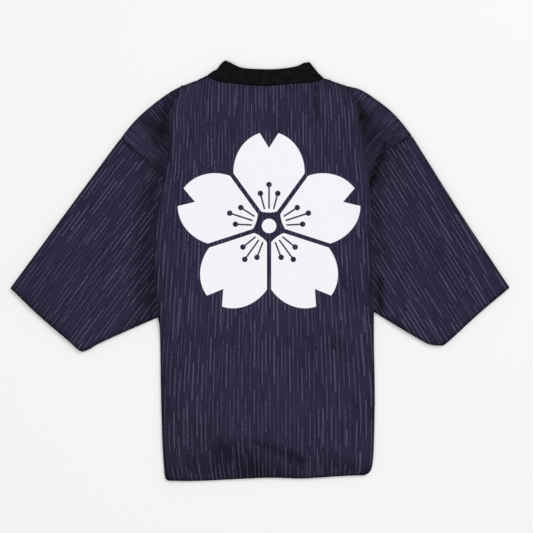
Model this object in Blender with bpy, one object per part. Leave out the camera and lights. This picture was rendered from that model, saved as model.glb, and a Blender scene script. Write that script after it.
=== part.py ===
"""Happi coat laid flat with its back up, as one closed wall of cloth for each piece that is cut and sewn.

The coat lies on the plane z = 0 with its collar towards +Y. The two fronts and the lower layers of the
sleeves lie on that plane. The back panel lies over them, and its outer edges turn down to the plane.
Along each arm the back panel folds over the sleeve, and above that it runs on as a cap of the shoulder.
Every length is in metres.
"""
import math
from collections import namedtuple

import bmesh
import bpy
from mathutils import Vector

# ---------------------------------------------------------------- driving dimensions
WALL = 0.003             # thickness of the lightly padded cloth
SEAM_GAP = 0.0003        # daylight between two pieces at a seam
NECK_GAP = 0.00045       # the same between the back panel's upper edge and the collar
BAND_GAP = 0.0006        # the same between a front and its collar band
BAND_THICK = 0.0045      # doubled collar band
CENTRE_X = 0.016         # middle line of the body
BAND_WIDTH = 0.050       # collar band on the fronts
BAND_PARTING = 0.010     # daylight between the two front bands
BACK_TOP = 0.0090        # height of the back panel's upper side where it is smooth
SIDE_ROLL = 0.006        # radius of the rolled edge at the sides and shoulders
LIP_ROLL = 0.0045        # radius of the rolled lip over each sleeve
LIP_RISE = 0.0056        # how far that lip stands above the smooth back
LIP_INSET = 0.012        # distance of the lip's crest from its edge
LIP_SPREAD = 0.022       # half width of the lip's swelling
LIP_RIM = 0.0084         # lower rim of the lip, just over the sleeve
ARM_LOW = 0.0076         # upper side of a sleeve or a cap beside the body
ARM_SWELL = 0.0034       # how much higher it is away from the body
ARM_LEVEL = 0.010        # width beside the body where it stays low
ARM_SLOPE = 0.050        # length over which it then rises
SEAM_DIP = 0.35          # share of that swelling lost at the armhole seam
SEAM_DIP_WIDTH = 0.012   # half width of that dip
FRONT_INSET = 0.0052     # distance of a front's edge from the coat's outline
COLLAR_TOP = 0.0110      # upper side of the collar where it folds over
COLLAR_SAG = 0.0035      # how much lower the collar lies behind the neck
NAVY = (0.030, 0.027, 0.056)
BLACK = (0.006, 0.006, 0.007)
MERGE = 0.00002          # points closer than this are one point
NO_LENGTH = 1e-12
NO_AREA = 1e-10
CURVE_STEPS = 24         # points between two spots of a smooth path before it is evened out
EDGE_SAMPLES = 60        # even points on a long edge from which others are read
HEIGHT_SAMPLES = 12      # even points on a line from which distances are measured

Spot = namedtuple("Spot", "x y")
Fold = namedtuple("Fold", "x0 y0 x1 y1 width height")

# Each half of the coat has its own table, because it lies a little unevenly.
# side: hem to armpit. fold: armpit to the end of the armhole seam. crest: on to the shoulder.
# seam: the armhole seam from the fold out to the shoulder. shoulder: from there to the crest.
LEFT = {
    "side": (Spot(-0.1945, -0.4368), Spot(-0.1988, -0.4265), Spot(-0.2030, -0.3700), Spot(-0.2062, -0.2700),
             Spot(-0.2082, -0.1500), Spot(-0.2095, -0.1150), Spot(-0.2125, -0.0990)),
    "fold": (Spot(-0.2125, -0.0990), Spot(-0.2140, -0.0700), Spot(-0.2175, -0.0200), Spot(-0.2195, 0.0300),
             Spot(-0.2180, 0.0750), Spot(-0.2110, 0.1200), Spot(-0.2045, 0.1650), Spot(-0.1983, 0.1940)),
    "crest": (Spot(-0.1983, 0.1940), Spot(-0.1925, 0.2300), Spot(-0.1879, 0.2573), Spot(-0.1860, 0.2781),
              Spot(-0.1875, 0.2948), Spot(-0.1896, 0.3135), Spot(-0.1879, 0.3302), Spot(-0.1817, 0.3458),
              Spot(-0.1719, 0.3635), Spot(-0.1625, 0.3845)),
    "seam": (Spot(-0.1983, 0.1940), Spot(-0.2070, 0.2052), Spot(-0.2230, 0.2195), Spot(-0.2395, 0.2326),
             Spot(-0.2555, 0.2454), Spot(-0.2715, 0.2581), Spot(-0.2868, 0.2703), Spot(-0.2915, 0.2740)),
    "shoulder": (Spot(-0.2915, 0.2740), Spot(-0.2667, 0.3052), Spot(-0.2417, 0.3302), Spot(-0.2083, 0.3575),
                 Spot(-0.1798, 0.3766), Spot(-0.1625, 0.3845)),
    "sleeve_top": (Spot(-0.5200, -0.0365), Spot(-0.4065, 0.1177), Spot(-0.2915, 0.2740)),
    "cuff": (Spot(-0.5200, -0.0365), Spot(-0.4595, -0.0948), Spot(-0.4010, -0.1448), Spot(-0.3800, -0.1640),
             Spot(-0.3700, -0.1697)),
    "sleeve_under": (Spot(-0.3700, -0.1697), Spot(-0.3542, -0.1635), Spot(-0.3375, -0.1533),
                     Spot(-0.2875, -0.1302), Spot(-0.2208, -0.1012), Spot(-0.1910, -0.0890)),
    "tuck": (Spot(-0.2021, 0.1933), Spot(-0.1975, 0.1785), Spot(-0.1840, 0.1600), Spot(-0.1810, 0.1400),
             Spot(-0.1815, 0.0950), Spot(-0.1850, 0.0450), Spot(-0.1885, -0.0100), Spot(-0.1905, -0.0550),
             Spot(-0.1910, -0.0890)),
    "neck_point": Spot(-0.1075, 0.4065),
    "peak": Spot(-0.0702, 0.4385),
}
RIGHT = {
    "side": (Spot(0.2190, -0.4268), Spot(0.2285, -0.4208), Spot(0.2345, -0.4050), Spot(0.2375, -0.3600),
             Spot(0.2394, -0.2600), Spot(0.2378, -0.1600), Spot(0.2370, -0.0865)),
    "fold": (Spot(0.2370, -0.0865), Spot(0.2345, -0.0450), Spot(0.2325, 0.0100), Spot(0.2312, 0.0700),
             Spot(0.2300, 0.1200), Spot(0.2290, 0.1680)),
    "crest": (Spot(0.2290, 0.1680), Spot(0.2240, 0.2100), Spot(0.2180, 0.2450), Spot(0.2095, 0.2850),
              Spot(0.2055, 0.3150), Spot(0.1990, 0.3420), Spot(0.1880, 0.3650), Spot(0.1792, 0.3850)),
    "seam": (Spot(0.2290, 0.1680), Spot(0.2365, 0.1880), Spot(0.2412, 0.2040), Spot(0.2458, 0.2198),
             Spot(0.2620, 0.2530), Spot(0.2880, 0.2654), Spot(0.3124, 0.2763), Spot(0.3173, 0.2796)),
    "shoulder": (Spot(0.3173, 0.2796), Spot(0.2979, 0.3052), Spot(0.2750, 0.3302), Spot(0.2438, 0.3552),
                 Spot(0.2100, 0.3768), Spot(0.1792, 0.3850)),
    "sleeve_top": (Spot(0.5198, -0.0354), Spot(0.4188, 0.1177), Spot(0.3479, 0.2302), Spot(0.3173, 0.2796)),
    "cuff": (Spot(0.5198, -0.0354), Spot(0.4500, -0.0948), Spot(0.3958, -0.1448), Spot(0.3800, -0.1570)),
    "sleeve_under": (Spot(0.3800, -0.1570), Spot(0.3583, -0.1552), Spot(0.3417, -0.1490),
                     Spot(0.2917, -0.1198), Spot(0.2400, -0.0880), Spot(0.2150, -0.0725)),
    "tuck": (Spot(0.2330, 0.1680), Spot(0.2310, 0.1560), Spot(0.2220, 0.1400), Spot(0.2170, 0.1150),
             Spot(0.2160, 0.0750), Spot(0.2154, 0.0300), Spot(0.2150, -0.0200), Spot(0.2150, -0.0725)),
    "neck_point": Spot(0.1335, 0.4010),
    "peak": Spot(0.1004, 0.4358),
}
HEM = (Spot(-0.1945, -0.4368), Spot(-0.1800, -0.4383), Spot(-0.1146, -0.4381), Spot(0.0104, -0.4320),
       Spot(0.0896, -0.4333), Spot(0.1771, -0.4281), Spot(0.2190, -0.4268))
NECK_SEAM = (Spot(-0.1110, 0.4045), Spot(-0.0880, 0.3925), Spot(-0.0458, 0.3876), Spot(0.0052, 0.3832),
             Spot(0.0417, 0.3858), Spot(0.0764, 0.3885), Spot(0.1216, 0.3935), Spot(0.1365, 0.3985))
TOP_LINE = (Spot(-0.1625, 0.3845), Spot(-0.1458, 0.3915), Spot(-0.1250, 0.4003), *NECK_SEAM,
            Spot(0.1480, 0.3955), Spot(0.1646, 0.3898), Spot(0.1792, 0.3850))
COLLAR_EDGE = (Spot(-0.0271, 0.4200), Spot(0.0080, 0.4196), Spot(0.0417, 0.4204), Spot(0.0792, 0.4266))

# Soft troughs and ridges of the laid cloth on the back panel.
BACK_FOLDS = (
    Fold(x0=0.1146, y0=0.3840, x1=0.1146, y1=0.3200, width=0.007, height=-0.0010),
    Fold(x0=0.1300, y0=0.3840, x1=0.1320, y1=0.2900, width=0.014, height=0.0012),
    Fold(x0=-0.0700, y0=-0.3500, x1=0.0900, y1=-0.3900, width=0.030, height=0.0030),
    Fold(x0=-0.0900, y0=0.3400, x1=-0.1000, y1=0.2200, width=0.030, height=0.0016),
    Fold(x0=-0.1200, y0=-0.2000, x1=-0.1300, y1=-0.3800, width=0.035, height=0.0022),
    Fold(x0=0.1500, y0=-0.1000, x1=0.1600, y1=-0.3600, width=0.040, height=0.0020),
    Fold(x0=0.0000, y0=0.2000, x1=0.0200, y1=-0.2000, width=0.060, height=0.0018),
)
EDGE_STEPS = (0.0, 0.0015, 0.0035, 0.0065, 0.0120, 0.0200, 0.0300)


# ---------------------------------------------------------------- plane curves
def smooth_path(spots, count):
    """Points at equal steps of length on a smooth curve through the spots."""
    knots = [Vector(spot) for spot in spots]
    ahead = [knots[0] * 2 - knots[1]] + knots + [knots[-1] * 2 - knots[-2]]
    fine = []
    for index in range(1, len(ahead) - 2):
        p0, p1, p2, p3 = ahead[index - 1:index + 3]
        for step in range(CURVE_STEPS):
            t = step / CURVE_STEPS
            fine.append(0.5 * (2 * p1 + (p2 - p0) * t + (2 * p0 - 5 * p1 + 4 * p2 - p3) * t * t
                               + (3 * p1 - p0 - 3 * p2 + p3) * t ** 3))
    fine.append(knots[-1])
    return even_steps(fine, count)


def even_steps(points, count):
    lengths = [0.0]
    for before, after in zip(points, points[1:]):
        lengths.append(lengths[-1] + (after - before).length)
    stations = [lengths[-1] * index / count for index in range(count + 1)]
    return [point_at(points, lengths, station) for station in stations]


def point_at(points, lengths, station):
    for index in range(len(points) - 1):
        if station <= lengths[index + 1] + NO_LENGTH:
            span = max(lengths[index + 1] - lengths[index], NO_LENGTH)
            return points[index].lerp(points[index + 1], (station - lengths[index]) / span)
    return points[-1].copy()


def along(points, fraction):
    """The point at a fraction of a path's length."""
    lengths = [0.0]
    for before, after in zip(points, points[1:]):
        lengths.append(lengths[-1] + (after - before).length)
    return point_at(points, lengths, lengths[-1] * fraction)


def height_of_line(spots, x):
    """The y of a line of spots at x, for an edge that runs from left to right."""
    if x <= spots[0].x:
        return spots[0].y
    for before, after in zip(spots, spots[1:]):
        if x <= after.x:
            share = (x - before.x) / (after.x - before.x)
            return before.y + share * (after.y - before.y)
    return spots[-1].y


def shifted(points, distance):
    """A path moved sideways to its left by a distance."""
    moved = []
    for index, point in enumerate(points):
        ahead = points[min(index + 1, len(points) - 1)]
        behind = points[max(index - 1, 0)]
        run = (ahead - behind).normalized()
        moved.append(point + Vector((-run.y, run.x)) * distance)
    return moved


def nearest(points, place):
    """Distance from a place to a path."""
    best = math.inf
    for before, after in zip(points, points[1:]):
        run = after - before
        share = max(0.0, min(1.0, (place - before).dot(run) / max(run.length_squared, NO_LENGTH)))
        best = min(best, (place - before - run * share).length)
    return best


def patch_point(bottom, top, left, right, u, rise):
    """A point of the patch inside four edges, which are given as points for this row and column."""
    low_left, low_here, low_right = bottom
    high_left, high_here, high_right = top
    across = low_here.lerp(high_here, rise)
    fix_left = left - low_left.lerp(high_left, rise)
    fix_right = right - low_right.lerp(high_right, rise)
    return across + fix_left * (1 - u) + fix_right * u


# ---------------------------------------------------------------- heights
def quarter_round(distance, radius):
    """How far a rolled edge has dropped at a distance in from the outline."""
    if distance >= radius:
        return 0.0
    reach = radius - distance
    return radius - math.sqrt(max(radius * radius - reach * reach, 0.0))


def bell(distance, width):
    return math.exp(-(distance / width) ** 2)


def ease(value):
    value = max(0.0, min(1.0, value))
    return value * value * (3 - 2 * value)


def fold_height(place):
    """Sum of the soft folds of the back panel at a place."""
    total = 0.0
    for fold in BACK_FOLDS:
        line = [Vector((fold.x0, fold.y0)), Vector((fold.x1, fold.y1))]
        total += fold.height * bell(nearest(line, place), fold.width)
    return total


# ---------------------------------------------------------------- meshes
def grid_mesh(rows):
    """A bmesh grid from rows of points, made with the grid operator and then moved into place."""
    bm = bmesh.new()
    add_grid(bm, rows)
    return bm


def add_grid(bm, rows):
    made = bmesh.ops.create_grid(bm, x_segments=len(rows[0]) - 1, y_segments=len(rows) - 1, size=1.0)
    order = sorted(made["verts"], key=lambda vert: (round(vert.co.y, 5), round(vert.co.x, 5)))
    flat = [point for row in rows for point in row]
    for vert, point in zip(order, flat):
        vert.co = point
    return order


def finish_piece(name, bm, material, thickness, offset):
    """Turn a bmesh surface into a wall of cloth and put it in the scene."""
    bmesh.ops.remove_doubles(bm, verts=bm.verts, dist=MERGE)
    flat_faces = [face for face in bm.faces if face.calc_area() < NO_AREA]
    bmesh.ops.delete(bm, geom=flat_faces, context="FACES")
    mesh = bpy.data.meshes.new(name)
    bm.to_mesh(mesh)
    bm.free()
    piece = bpy.data.objects.new(name, mesh)
    bpy.context.scene.collection.objects.link(piece)
    mesh.materials.append(material)
    if thickness:
        wall = piece.modifiers.new("cloth wall", "SOLIDIFY")
        wall.thickness = thickness
        wall.offset = offset
        wall.use_even_offset = False
        wall.use_rim = True
    return piece


def cloth_material(name, colour, roughness):
    material = bpy.data.materials.new(name)
    material.use_nodes = True
    shader = material.node_tree.nodes["Principled BSDF"]
    shader.inputs["Base Color"].default_value = (*colour, 1.0)
    shader.inputs["Roughness"].default_value = roughness
    shader.inputs["Metallic"].default_value = 0.0
    return material


# ---------------------------------------------------------------- back panel
SIDE_ROWS = 12
FOLD_ROWS = 11
CREST_ROWS = 12
SEAM_ROWS = 7            # rows of a cap that end on the armhole seam
INNER_COLUMNS = 16
CAP_COLUMNS = (0.0, 0.10, 0.22, 0.36, 0.52, 0.68, 0.82, 0.92, 0.966, 0.986, 1.0)
CAP_TIP = 0.016          # length at each end of a cap over which its narrow faces are merged
CAP_TIP_MERGE = 0.0012
ARMPIT_STEP = 0.010      # length over which a side edge lifts off the plane at the armpit
CREST_FADE = 0.10        # length over which the fold dies out below the shoulder
NECK_FADE = 0.020        # length over which the rolled shoulder edge ends at the neck
HEM_DROP = 0.0010        # how much lower the back lies at its hem
HEM_FADE = 0.02          # length over which it rises from there

EdgeStop = namedtuple("EdgeStop", "place kind")


def length_of(points):
    return sum((after - before).length for before, after in zip(points, points[1:]))


def before_end(points, distance):
    """The point of a path at a distance before its end."""
    return along(points, 1 - distance / length_of(points))


def long_edge(half):
    """The back panel's long edge from the hem to the shoulder, one stop for each row of cloth."""
    side = smooth_path(half["side"], SIDE_ROWS)
    fold = smooth_path(half["fold"], FOLD_ROWS)
    crest = smooth_path(half["crest"], CREST_ROWS)
    stops = [EdgeStop(place, "side") for place in side[:-1]]
    stops.append(EdgeStop(before_end(side, ARMPIT_STEP), "side"))
    stops += [EdgeStop(place, "fold") for place in fold[:-1]]
    stops.append(EdgeStop(before_end(fold, ARMPIT_STEP), "fold"))
    stops += [EdgeStop(place, "crest") for place in crest[:-1]]
    stops += [EdgeStop(before_end(crest, step), "crest") for step in reversed(EDGE_STEPS[1:5])]
    stops.append(EdgeStop(crest[-1], "crest"))
    return stops


def arm_height(place, half, crest_lift=0.0):
    """Upper side of a sleeve or cap: low beside the body, swelling away from it, dipped at its seam."""
    body_line = smooth_path(half["fold"], HEIGHT_SAMPLES)[:-1] + smooth_path(half["crest"], HEIGHT_SAMPLES)
    swell = ease((nearest(body_line, place) - ARM_LEVEL) / ARM_SLOPE)
    dip = 1 - SEAM_DIP * bell(nearest([Vector(spot) for spot in half["seam"]], place), SEAM_DIP_WIDTH)
    low = ARM_LOW + (BACK_TOP - ARM_LOW) * crest_lift
    return low + (ARM_LOW + ARM_SWELL - low) * swell * dip


def crest_fade(place, half):
    """1 where the fold beside a cap is deep, and 0 at the shoulder, where it ends."""
    return ease((place - Vector(half["crest"][-1])).length / CREST_FADE)


def neck_fade(place):
    """0 at the neck, growing to 1 along each shoulder."""
    neck = NECK_SEAM[0] if place.x < 0 else NECK_SEAM[-1]
    return ease(abs(place.x - neck.x) / NECK_FADE)


def shoulder_line(half):
    """The outline from the armhole seam up over the shoulder to the neck."""
    cap_part = cap_outline(half, CREST_ROWS + len(EDGE_STEPS[1:5]))[SEAM_ROWS:]
    span = TOP_LINE[-1].x - TOP_LINE[0].x
    xs = [TOP_LINE[0].x + span * u for u in back_columns()]
    if half is LEFT:
        xs = [x for x in xs if TOP_LINE[0].x < x <= NECK_SEAM[0].x + MERGE]
    else:
        xs = [x for x in reversed(xs) if NECK_SEAM[-1].x - MERGE <= x < TOP_LINE[-1].x]
    return cap_part + [Vector((x, height_of_line(TOP_LINE, x))) for x in xs]


def cap_outline(half, intervals):
    """Points of a cap's outer edge: along the armhole seam, then along the shoulder to the crest."""
    seam = [Vector(spot) for spot in half["seam"]]
    fine = EDGE_STEPS[1:5]
    shoulder = smooth_path(half["shoulder"], intervals - SEAM_ROWS - len(fine) + 1)
    ends = [before_end(shoulder, step) for step in reversed(fine)]
    return seam[:-1] + shoulder[:-1] + ends + [shoulder[-1]]


def back_columns():
    """Shares of the way across the back panel, close at its edges, with a stop at each neck corner."""
    width = HEM[-1].x - HEM[0].x
    margin = [step / width for step in EDGE_STEPS]
    inner = [margin[-1] + (1 - 2 * margin[-1]) * index / INNER_COLUMNS for index in range(1, INNER_COLUMNS)]
    for corner in (NECK_SEAM[0], NECK_SEAM[-1]):
        share = (corner.x - TOP_LINE[0].x) / (TOP_LINE[-1].x - TOP_LINE[0].x)
        closest = min(range(len(inner)), key=lambda index: abs(inner[index] - share))
        inner[closest] = share
    return margin + inner + [1 - step for step in reversed(margin)]


def shoulder_roll(place):
    """How far the back has dropped where it rolls over a shoulder, which stops at the neck."""
    if NECK_SEAM[0].x <= place.x <= NECK_SEAM[-1].x:
        return 0.0
    half = LEFT if place.x < 0 else RIGHT
    return neck_fade(place) * quarter_round(nearest(shoulder_line(half), place), SIDE_ROLL)


def back_height(place, left_stop, right_stop):
    """Upper side of the back panel between the two stops of its row."""
    hem = HEM_DROP * bell(place.y - height_of_line(HEM, place.x), HEM_FADE)
    height = BACK_TOP - hem + fold_height(place)
    for stop, half in ((left_stop, LEFT), (right_stop, RIGHT)):
        distance = (place - stop.place).length
        if stop.kind == "side":
            height -= quarter_round(distance, SIDE_ROLL)
            continue
        strength = crest_fade(stop.place, half) if stop.kind == "crest" else 1.0
        height += strength * LIP_RISE * bell(distance - LIP_INSET, LIP_SPREAD)
        height -= strength * quarter_round(distance, LIP_ROLL)
    return height - shoulder_roll(place)


def back_rows(left_edge, right_edge):
    """Rows of points of the back panel, from the hem up."""
    climb = [0.0]
    for before, after in zip(left_edge, left_edge[1:]):
        climb.append(climb[-1] + (after.place - before.place).length)
    columns = back_columns()
    hem_path = smooth_path(HEM, EDGE_SAMPLES)
    top_left, top_right = Vector(TOP_LINE[0]), Vector(TOP_LINE[-1])
    rows = []
    for left_stop, right_stop, run in zip(left_edge, right_edge, climb):
        row = []
        for u in columns:
            x = top_left.x + (top_right.x - top_left.x) * u
            high = Vector((x, height_of_line(TOP_LINE, x)))
            place = patch_point((hem_path[0], along(hem_path, u), hem_path[-1]), (top_left, high, top_right),
                                left_stop.place, right_stop.place, u, run / climb[-1])
            row.append(Vector((place.x, place.y, back_height(place, left_stop, right_stop))))
        rows.append(row)
    return rows


def cap_rows(half, edge):
    """Rows of a shoulder cap, from the body's crest out to the armhole seam and the shoulder."""
    crest = [stop.place for stop in edge if stop.kind == "crest"]
    outer = cap_outline(half, len(crest) - 1)
    rows = []
    for inner_place, outer_place in zip(crest, outer):
        row = []
        for share in CAP_COLUMNS:
            place = inner_place.lerp(outer_place, share)
            height = arm_height(place, half, 1 - crest_fade(place, half)) - shoulder_roll(place)
            row.append(Vector((place.x, place.y, height)))
        rows.append(row)
    return rows


def plan_key(point):
    return (round(point.x, 6), round(point.y, 6))


def turn_down(bm, chain, rims):
    """Turn the free edge of the cloth straight down along a chain of points, to each point's rim."""
    keys = {plan_key(point) for point in chain}
    edges = [edge for edge in bm.edges
             if edge.is_boundary and all(plan_key(vert.co) in keys for vert in edge.verts)]
    made = bmesh.ops.extrude_edge_only(bm, edges=edges)["geom"]
    for vert in made:
        if isinstance(vert, bmesh.types.BMVert):
            vert.co.z = rims[plan_key(vert.co)]


def build_back_panel(material):
    left_edge, right_edge = long_edge(LEFT), long_edge(RIGHT)
    rows = back_rows(left_edge, right_edge)
    bm = grid_mesh(rows)
    rims = {}
    chain = []
    caps = []
    for edge, half, column in ((left_edge, LEFT, 0), (right_edge, RIGHT, -1)):
        cap = cap_rows(half, edge)
        caps.append(cap)
        crest_heights = iter(row[0].z for row in cap)
        for stop, row in zip(edge, rows):
            rim = {"side": 0.0, "fold": LIP_RIM}.get(stop.kind)
            if rim is None:
                rim = min(next(crest_heights), row[column].z)
            rims[plan_key(row[column])] = rim
            chain.append(row[column])
    turn_down(bm, chain, rims)
    for cap, half in zip(caps, (LEFT, RIGHT)):
        add_grid(bm, cap if half is RIGHT else [list(reversed(row)) for row in cap])
    bmesh.ops.remove_doubles(bm, verts=bm.verts, dist=MERGE)
    tips = [Vector(half["crest"][end]) for half in (LEFT, RIGHT) for end in (0, -1)]
    narrow = [vert for vert in bm.verts if any((vert.co.to_2d() - tip).length < CAP_TIP for tip in tips)]
    bmesh.ops.remove_doubles(bm, verts=narrow, dist=CAP_TIP_MERGE)
    shoulder_chain = [row[-1] for cap in caps for row in cap[SEAM_ROWS:]]
    shoulder_chain += [point for point in rows[-1]
                       if not NECK_SEAM[0].x + MERGE < point.x < NECK_SEAM[-1].x - MERGE]
    shoulder_rims = {plan_key(point): (BACK_TOP - WALL) * (1 - neck_fade(point)) for point in shoulder_chain}
    turn_down(bm, shoulder_chain, shoulder_rims)
    return finish_piece("back_panel", bm, material, WALL, -1.0)


# ---------------------------------------------------------------- sleeves
SLEEVE_SHARES = (0.0, 0.03, 0.11, 0.21, 0.32, 0.43, 0.54, 0.65, 0.75, 0.84, 0.91, 0.96, 1.0)
SLEEVE_EDGE_STEPS = (0.0, 0.0006, 0.0018, 0.0040, 0.0100)
CUFF_DROP = 0.0010       # how much lower a sleeve lies at its cuff
CUFF_FADE = 0.10         # share of the sleeve's length over which it rises from there


def sleeve_inner_end(half):
    """Corners of a sleeve's end: on the armhole seam from the shoulder down, then inside the tuck."""
    return [Vector(spot) for spot in half["seam"][:0:-1] + half["tuck"]]


def shares_of(points):
    """Each point's share of the length of its path."""
    runs = [0.0]
    for before, after in zip(points, points[1:]):
        runs.append(runs[-1] + (after - before).length)
    return [run / runs[-1] for run in runs]


def sleeve_columns(inner_end):
    """Shares of the way down a sleeve: each corner of its inner end, and close steps at both edges."""
    margin = [step / length_of(inner_end) for step in SLEEVE_EDGE_STEPS]
    inner = [share for share in shares_of(inner_end) if margin[-1] < share < 1 - margin[-1]]
    return margin + inner + [1 - share for share in reversed(margin)]


def sleeve_rows(half, toward_sleeve):
    """Closed loops of points round a sleeve, from the cuff in to the armhole."""
    inner_end = shifted(sleeve_inner_end(half), toward_sleeve * SEAM_GAP)
    columns = sleeve_columns(inner_end)
    cuff = smooth_path(half["cuff"], EDGE_SAMPLES)
    top = smooth_path(half["sleeve_top"], EDGE_SAMPLES)
    under = smooth_path(half["sleeve_under"], EDGE_SAMPLES)
    rows = []
    for rise in SLEEVE_SHARES:
        upper_edge = along(top, rise) if rise < 1 else inner_end[0]
        lower_edge = along(under, rise) if rise < 1 else inner_end[-1]
        width = (upper_edge - lower_edge).length
        places = []
        for u in columns:
            place = patch_point((cuff[0], along(cuff, u), cuff[-1]),
                                (inner_end[0], along(inner_end, u), inner_end[-1]),
                                upper_edge, lower_edge, u, rise)
            places.append((place, min(u, 1 - u) * width))
        rows.append(sleeve_loop(places, half, rise))
    return rows


def sleeve_loop(places, half, rise):
    """One loop round a flattened sleeve: over its upper layer, then back under its lower layer."""
    upper, lower = [], []
    for place, margin in places:
        height = arm_height(place, half)
        if abs(place.x) < abs(half["seam"][0].x):
            height = ARM_LOW
        height -= CUFF_DROP * bell(rise, CUFF_FADE)
        radius = height / 2
        reach = max(0.0, 1 - margin / radius)
        curve = math.sqrt(1 - reach * reach)
        upper.append(Vector((place.x, place.y, radius + radius * curve)))
        lower.append(Vector((place.x, place.y, radius - radius * curve)))
    return upper + lower[-2:0:-1] + [upper[0].copy()]


def build_sleeve(name, half, toward_sleeve, material):
    bm = grid_mesh(sleeve_rows(half, toward_sleeve))
    bmesh.ops.remove_doubles(bm, verts=bm.verts, dist=MERGE)
    bmesh.ops.recalc_face_normals(bm, faces=bm.faces)
    return finish_piece(name, bm, material, WALL, -1.0)


# ---------------------------------------------------------------- collar
STRAIGHT_ROWS = 8
NECK_ROWS = 8
ROLL_ROWS = 6
SECTION_STEPS = 4        # steps round each rounded edge of the band
V_BOTTOM = 0.140         # y where the front bands turn from straight to sloping
NECK_CURVE = 1.4         # how the slope of the front neck gathers towards the shoulder
HEM_END = -0.4322        # y of the lower end of the front bands

BandLine = namedtuple("BandLine", "inner outer depth")


def roll_axis(half):
    """The fold of the collar over the shoulder: its two ends, and the direction that points out."""
    peak, neck = Vector(half["peak"]), Vector(half["neck_point"])
    run = (peak - neck).normalized()
    out = Vector((-run.y, run.x))
    if out.x * half["neck_point"].x < 0:
        out = -out
    return peak, neck, out


def front_band_edges(half):
    """Functions of a share from the hem's end of the slope to the fold, for the band's two edges."""
    side = -1 if half is LEFT else 1
    peak, neck, out = roll_axis(half)
    radius = COLLAR_TOP / 2
    inner_x = CENTRE_X + side * BAND_PARTING / 2
    outer_x = inner_x + side * BAND_WIDTH

    def edge(straight_x, end, share):
        goal = end - out * radius
        x = straight_x + (goal.x - straight_x) * share ** NECK_CURVE
        return Vector((x, V_BOTTOM + (goal.y - V_BOTTOM) * share, 0.0))

    def inner(share):
        return edge(inner_x, peak, share)

    def outer(share):
        return edge(outer_x, neck, share)

    return inner, outer


def front_band_lines(half):
    """Lines across one front band from the hem up to the fold, then round the fold."""
    inner, outer = front_band_edges(half)
    peak, neck, out = roll_axis(half)
    up = Vector((0.0, 0.0, 1.0))
    lines = []
    for index in range(STRAIGHT_ROWS):
        y = HEM_END + (V_BOTTOM - HEM_END) * index / STRAIGHT_ROWS
        low_inner, low_outer = inner(0.0), outer(0.0)
        lines.append(BandLine(Vector((low_inner.x, y, 0.0)), Vector((low_outer.x, y, 0.0)), up))
    for index in range(NECK_ROWS + 1):
        share = index / NECK_ROWS
        lines.append(BandLine(inner(share), outer(share), up))
    radius = COLLAR_TOP / 2
    for index in range(1, ROLL_ROWS + 1):
        angle = math.pi * index / ROLL_ROWS
        out_shift = -radius * (1 - math.sin(angle))
        height = radius * (1 - math.cos(angle))
        depth = (-out * math.sin(angle)).to_3d() + up * math.cos(angle)
        ends = [(end + out * out_shift).to_3d() + up * height for end in (peak, neck)]
        lines.append(BandLine(ends[0], ends[1], depth))
    return lines


def behind_neck_lines():
    """Lines across the part of the collar that lies above the back of the neck, from left to right."""
    left_peak, _, left_out = roll_axis(LEFT)
    right_peak, _, right_out = roll_axis(RIGHT)
    radius = COLLAR_TOP / 2
    free = [left_peak - left_out * radius] + [Vector(spot) for spot in COLLAR_EDGE]
    free.append(right_peak - right_out * radius)
    free_path = smooth_path(free, EDGE_SAMPLES)
    span = TOP_LINE[-1].x - TOP_LINE[0].x
    stops = [TOP_LINE[0].x + span * u for u in back_columns()]
    stops = [x for x in stops if NECK_SEAM[0].x + MERGE < x < NECK_SEAM[-1].x - MERGE]
    lines = []
    for index, x in enumerate(stops):
        share = (index + 1) / (len(stops) + 1)
        height = COLLAR_TOP - COLLAR_SAG * math.sin(math.pi * share) ** 2
        sewn = Vector((x, height_of_line(TOP_LINE, x) + NECK_GAP, height))
        free_spot = along(free_path, share).to_3d() + Vector((0.0, 0.0, height))
        lines.append(BandLine(free_spot, sewn, Vector((0.0, 0.0, -1.0))))
    return lines


def band_section():
    """The rounded section of the doubled band as pairs of a distance across and a depth."""
    half = BAND_THICK / 2
    section = []
    for index in range(SECTION_STEPS + 1):
        angle = math.pi * index / SECTION_STEPS
        section.append((0.0, half - half * math.sin(angle), half - half * math.cos(angle)))
    section.reverse()
    start = [(0.0, across, depth) for _, across, depth in section]
    end = [(1.0, -across, depth) for _, across, depth in reversed(section)]
    return start + [(0.5, 0.0, 0.0)] + end + [(0.5, 0.0, BAND_THICK)]


def build_collar(material):
    left = front_band_lines(LEFT)
    right = list(reversed(front_band_lines(RIGHT)))
    section = band_section()
    rows = []
    for line in left + behind_neck_lines() + right:
        across = (line.outer - line.inner).normalized()
        row = []
        for share, offset, depth in section:
            row.append(line.inner.lerp(line.outer, share) + across * offset + line.depth * depth)
        row.append(row[0].copy())
        rows.append(row)
    bm = grid_mesh(rows)
    bmesh.ops.remove_doubles(bm, verts=bm.verts, dist=MERGE)
    rims = [edge for edge in bm.edges if edge.is_boundary]
    bmesh.ops.holes_fill(bm, edges=rims, sides=0)
    bmesh.ops.recalc_face_normals(bm, faces=bm.faces)
    return finish_piece("collar", bm, material, 0.0, 0.0)


# ---------------------------------------------------------------- fronts
FRONT_SIDE_ROWS = 9
FRONT_COLUMNS = 6
FRONT_SIDE_SAMPLES = 5
NECK_EDGE_STEPS = 10


def front_outer_edge(half, inward):
    """A front's long edge: inside the turned-down side, then along the sleeve's end to the shoulder."""
    side = shifted(smooth_path(half["side"], FRONT_SIDE_SAMPLES), inward * FRONT_INSET)
    side = smooth_path(side[:-1] + [before_end(side, FRONT_INSET)], FRONT_SIDE_ROWS)
    end = list(reversed(sleeve_inner_end(half)))
    notch = Vector((end[0].x, end[0].y - FRONT_INSET))
    last = end[-1] + (end[-2] - end[-1]).normalized() * FRONT_INSET
    return side + [notch] + end[:-2] + [last]


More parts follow.
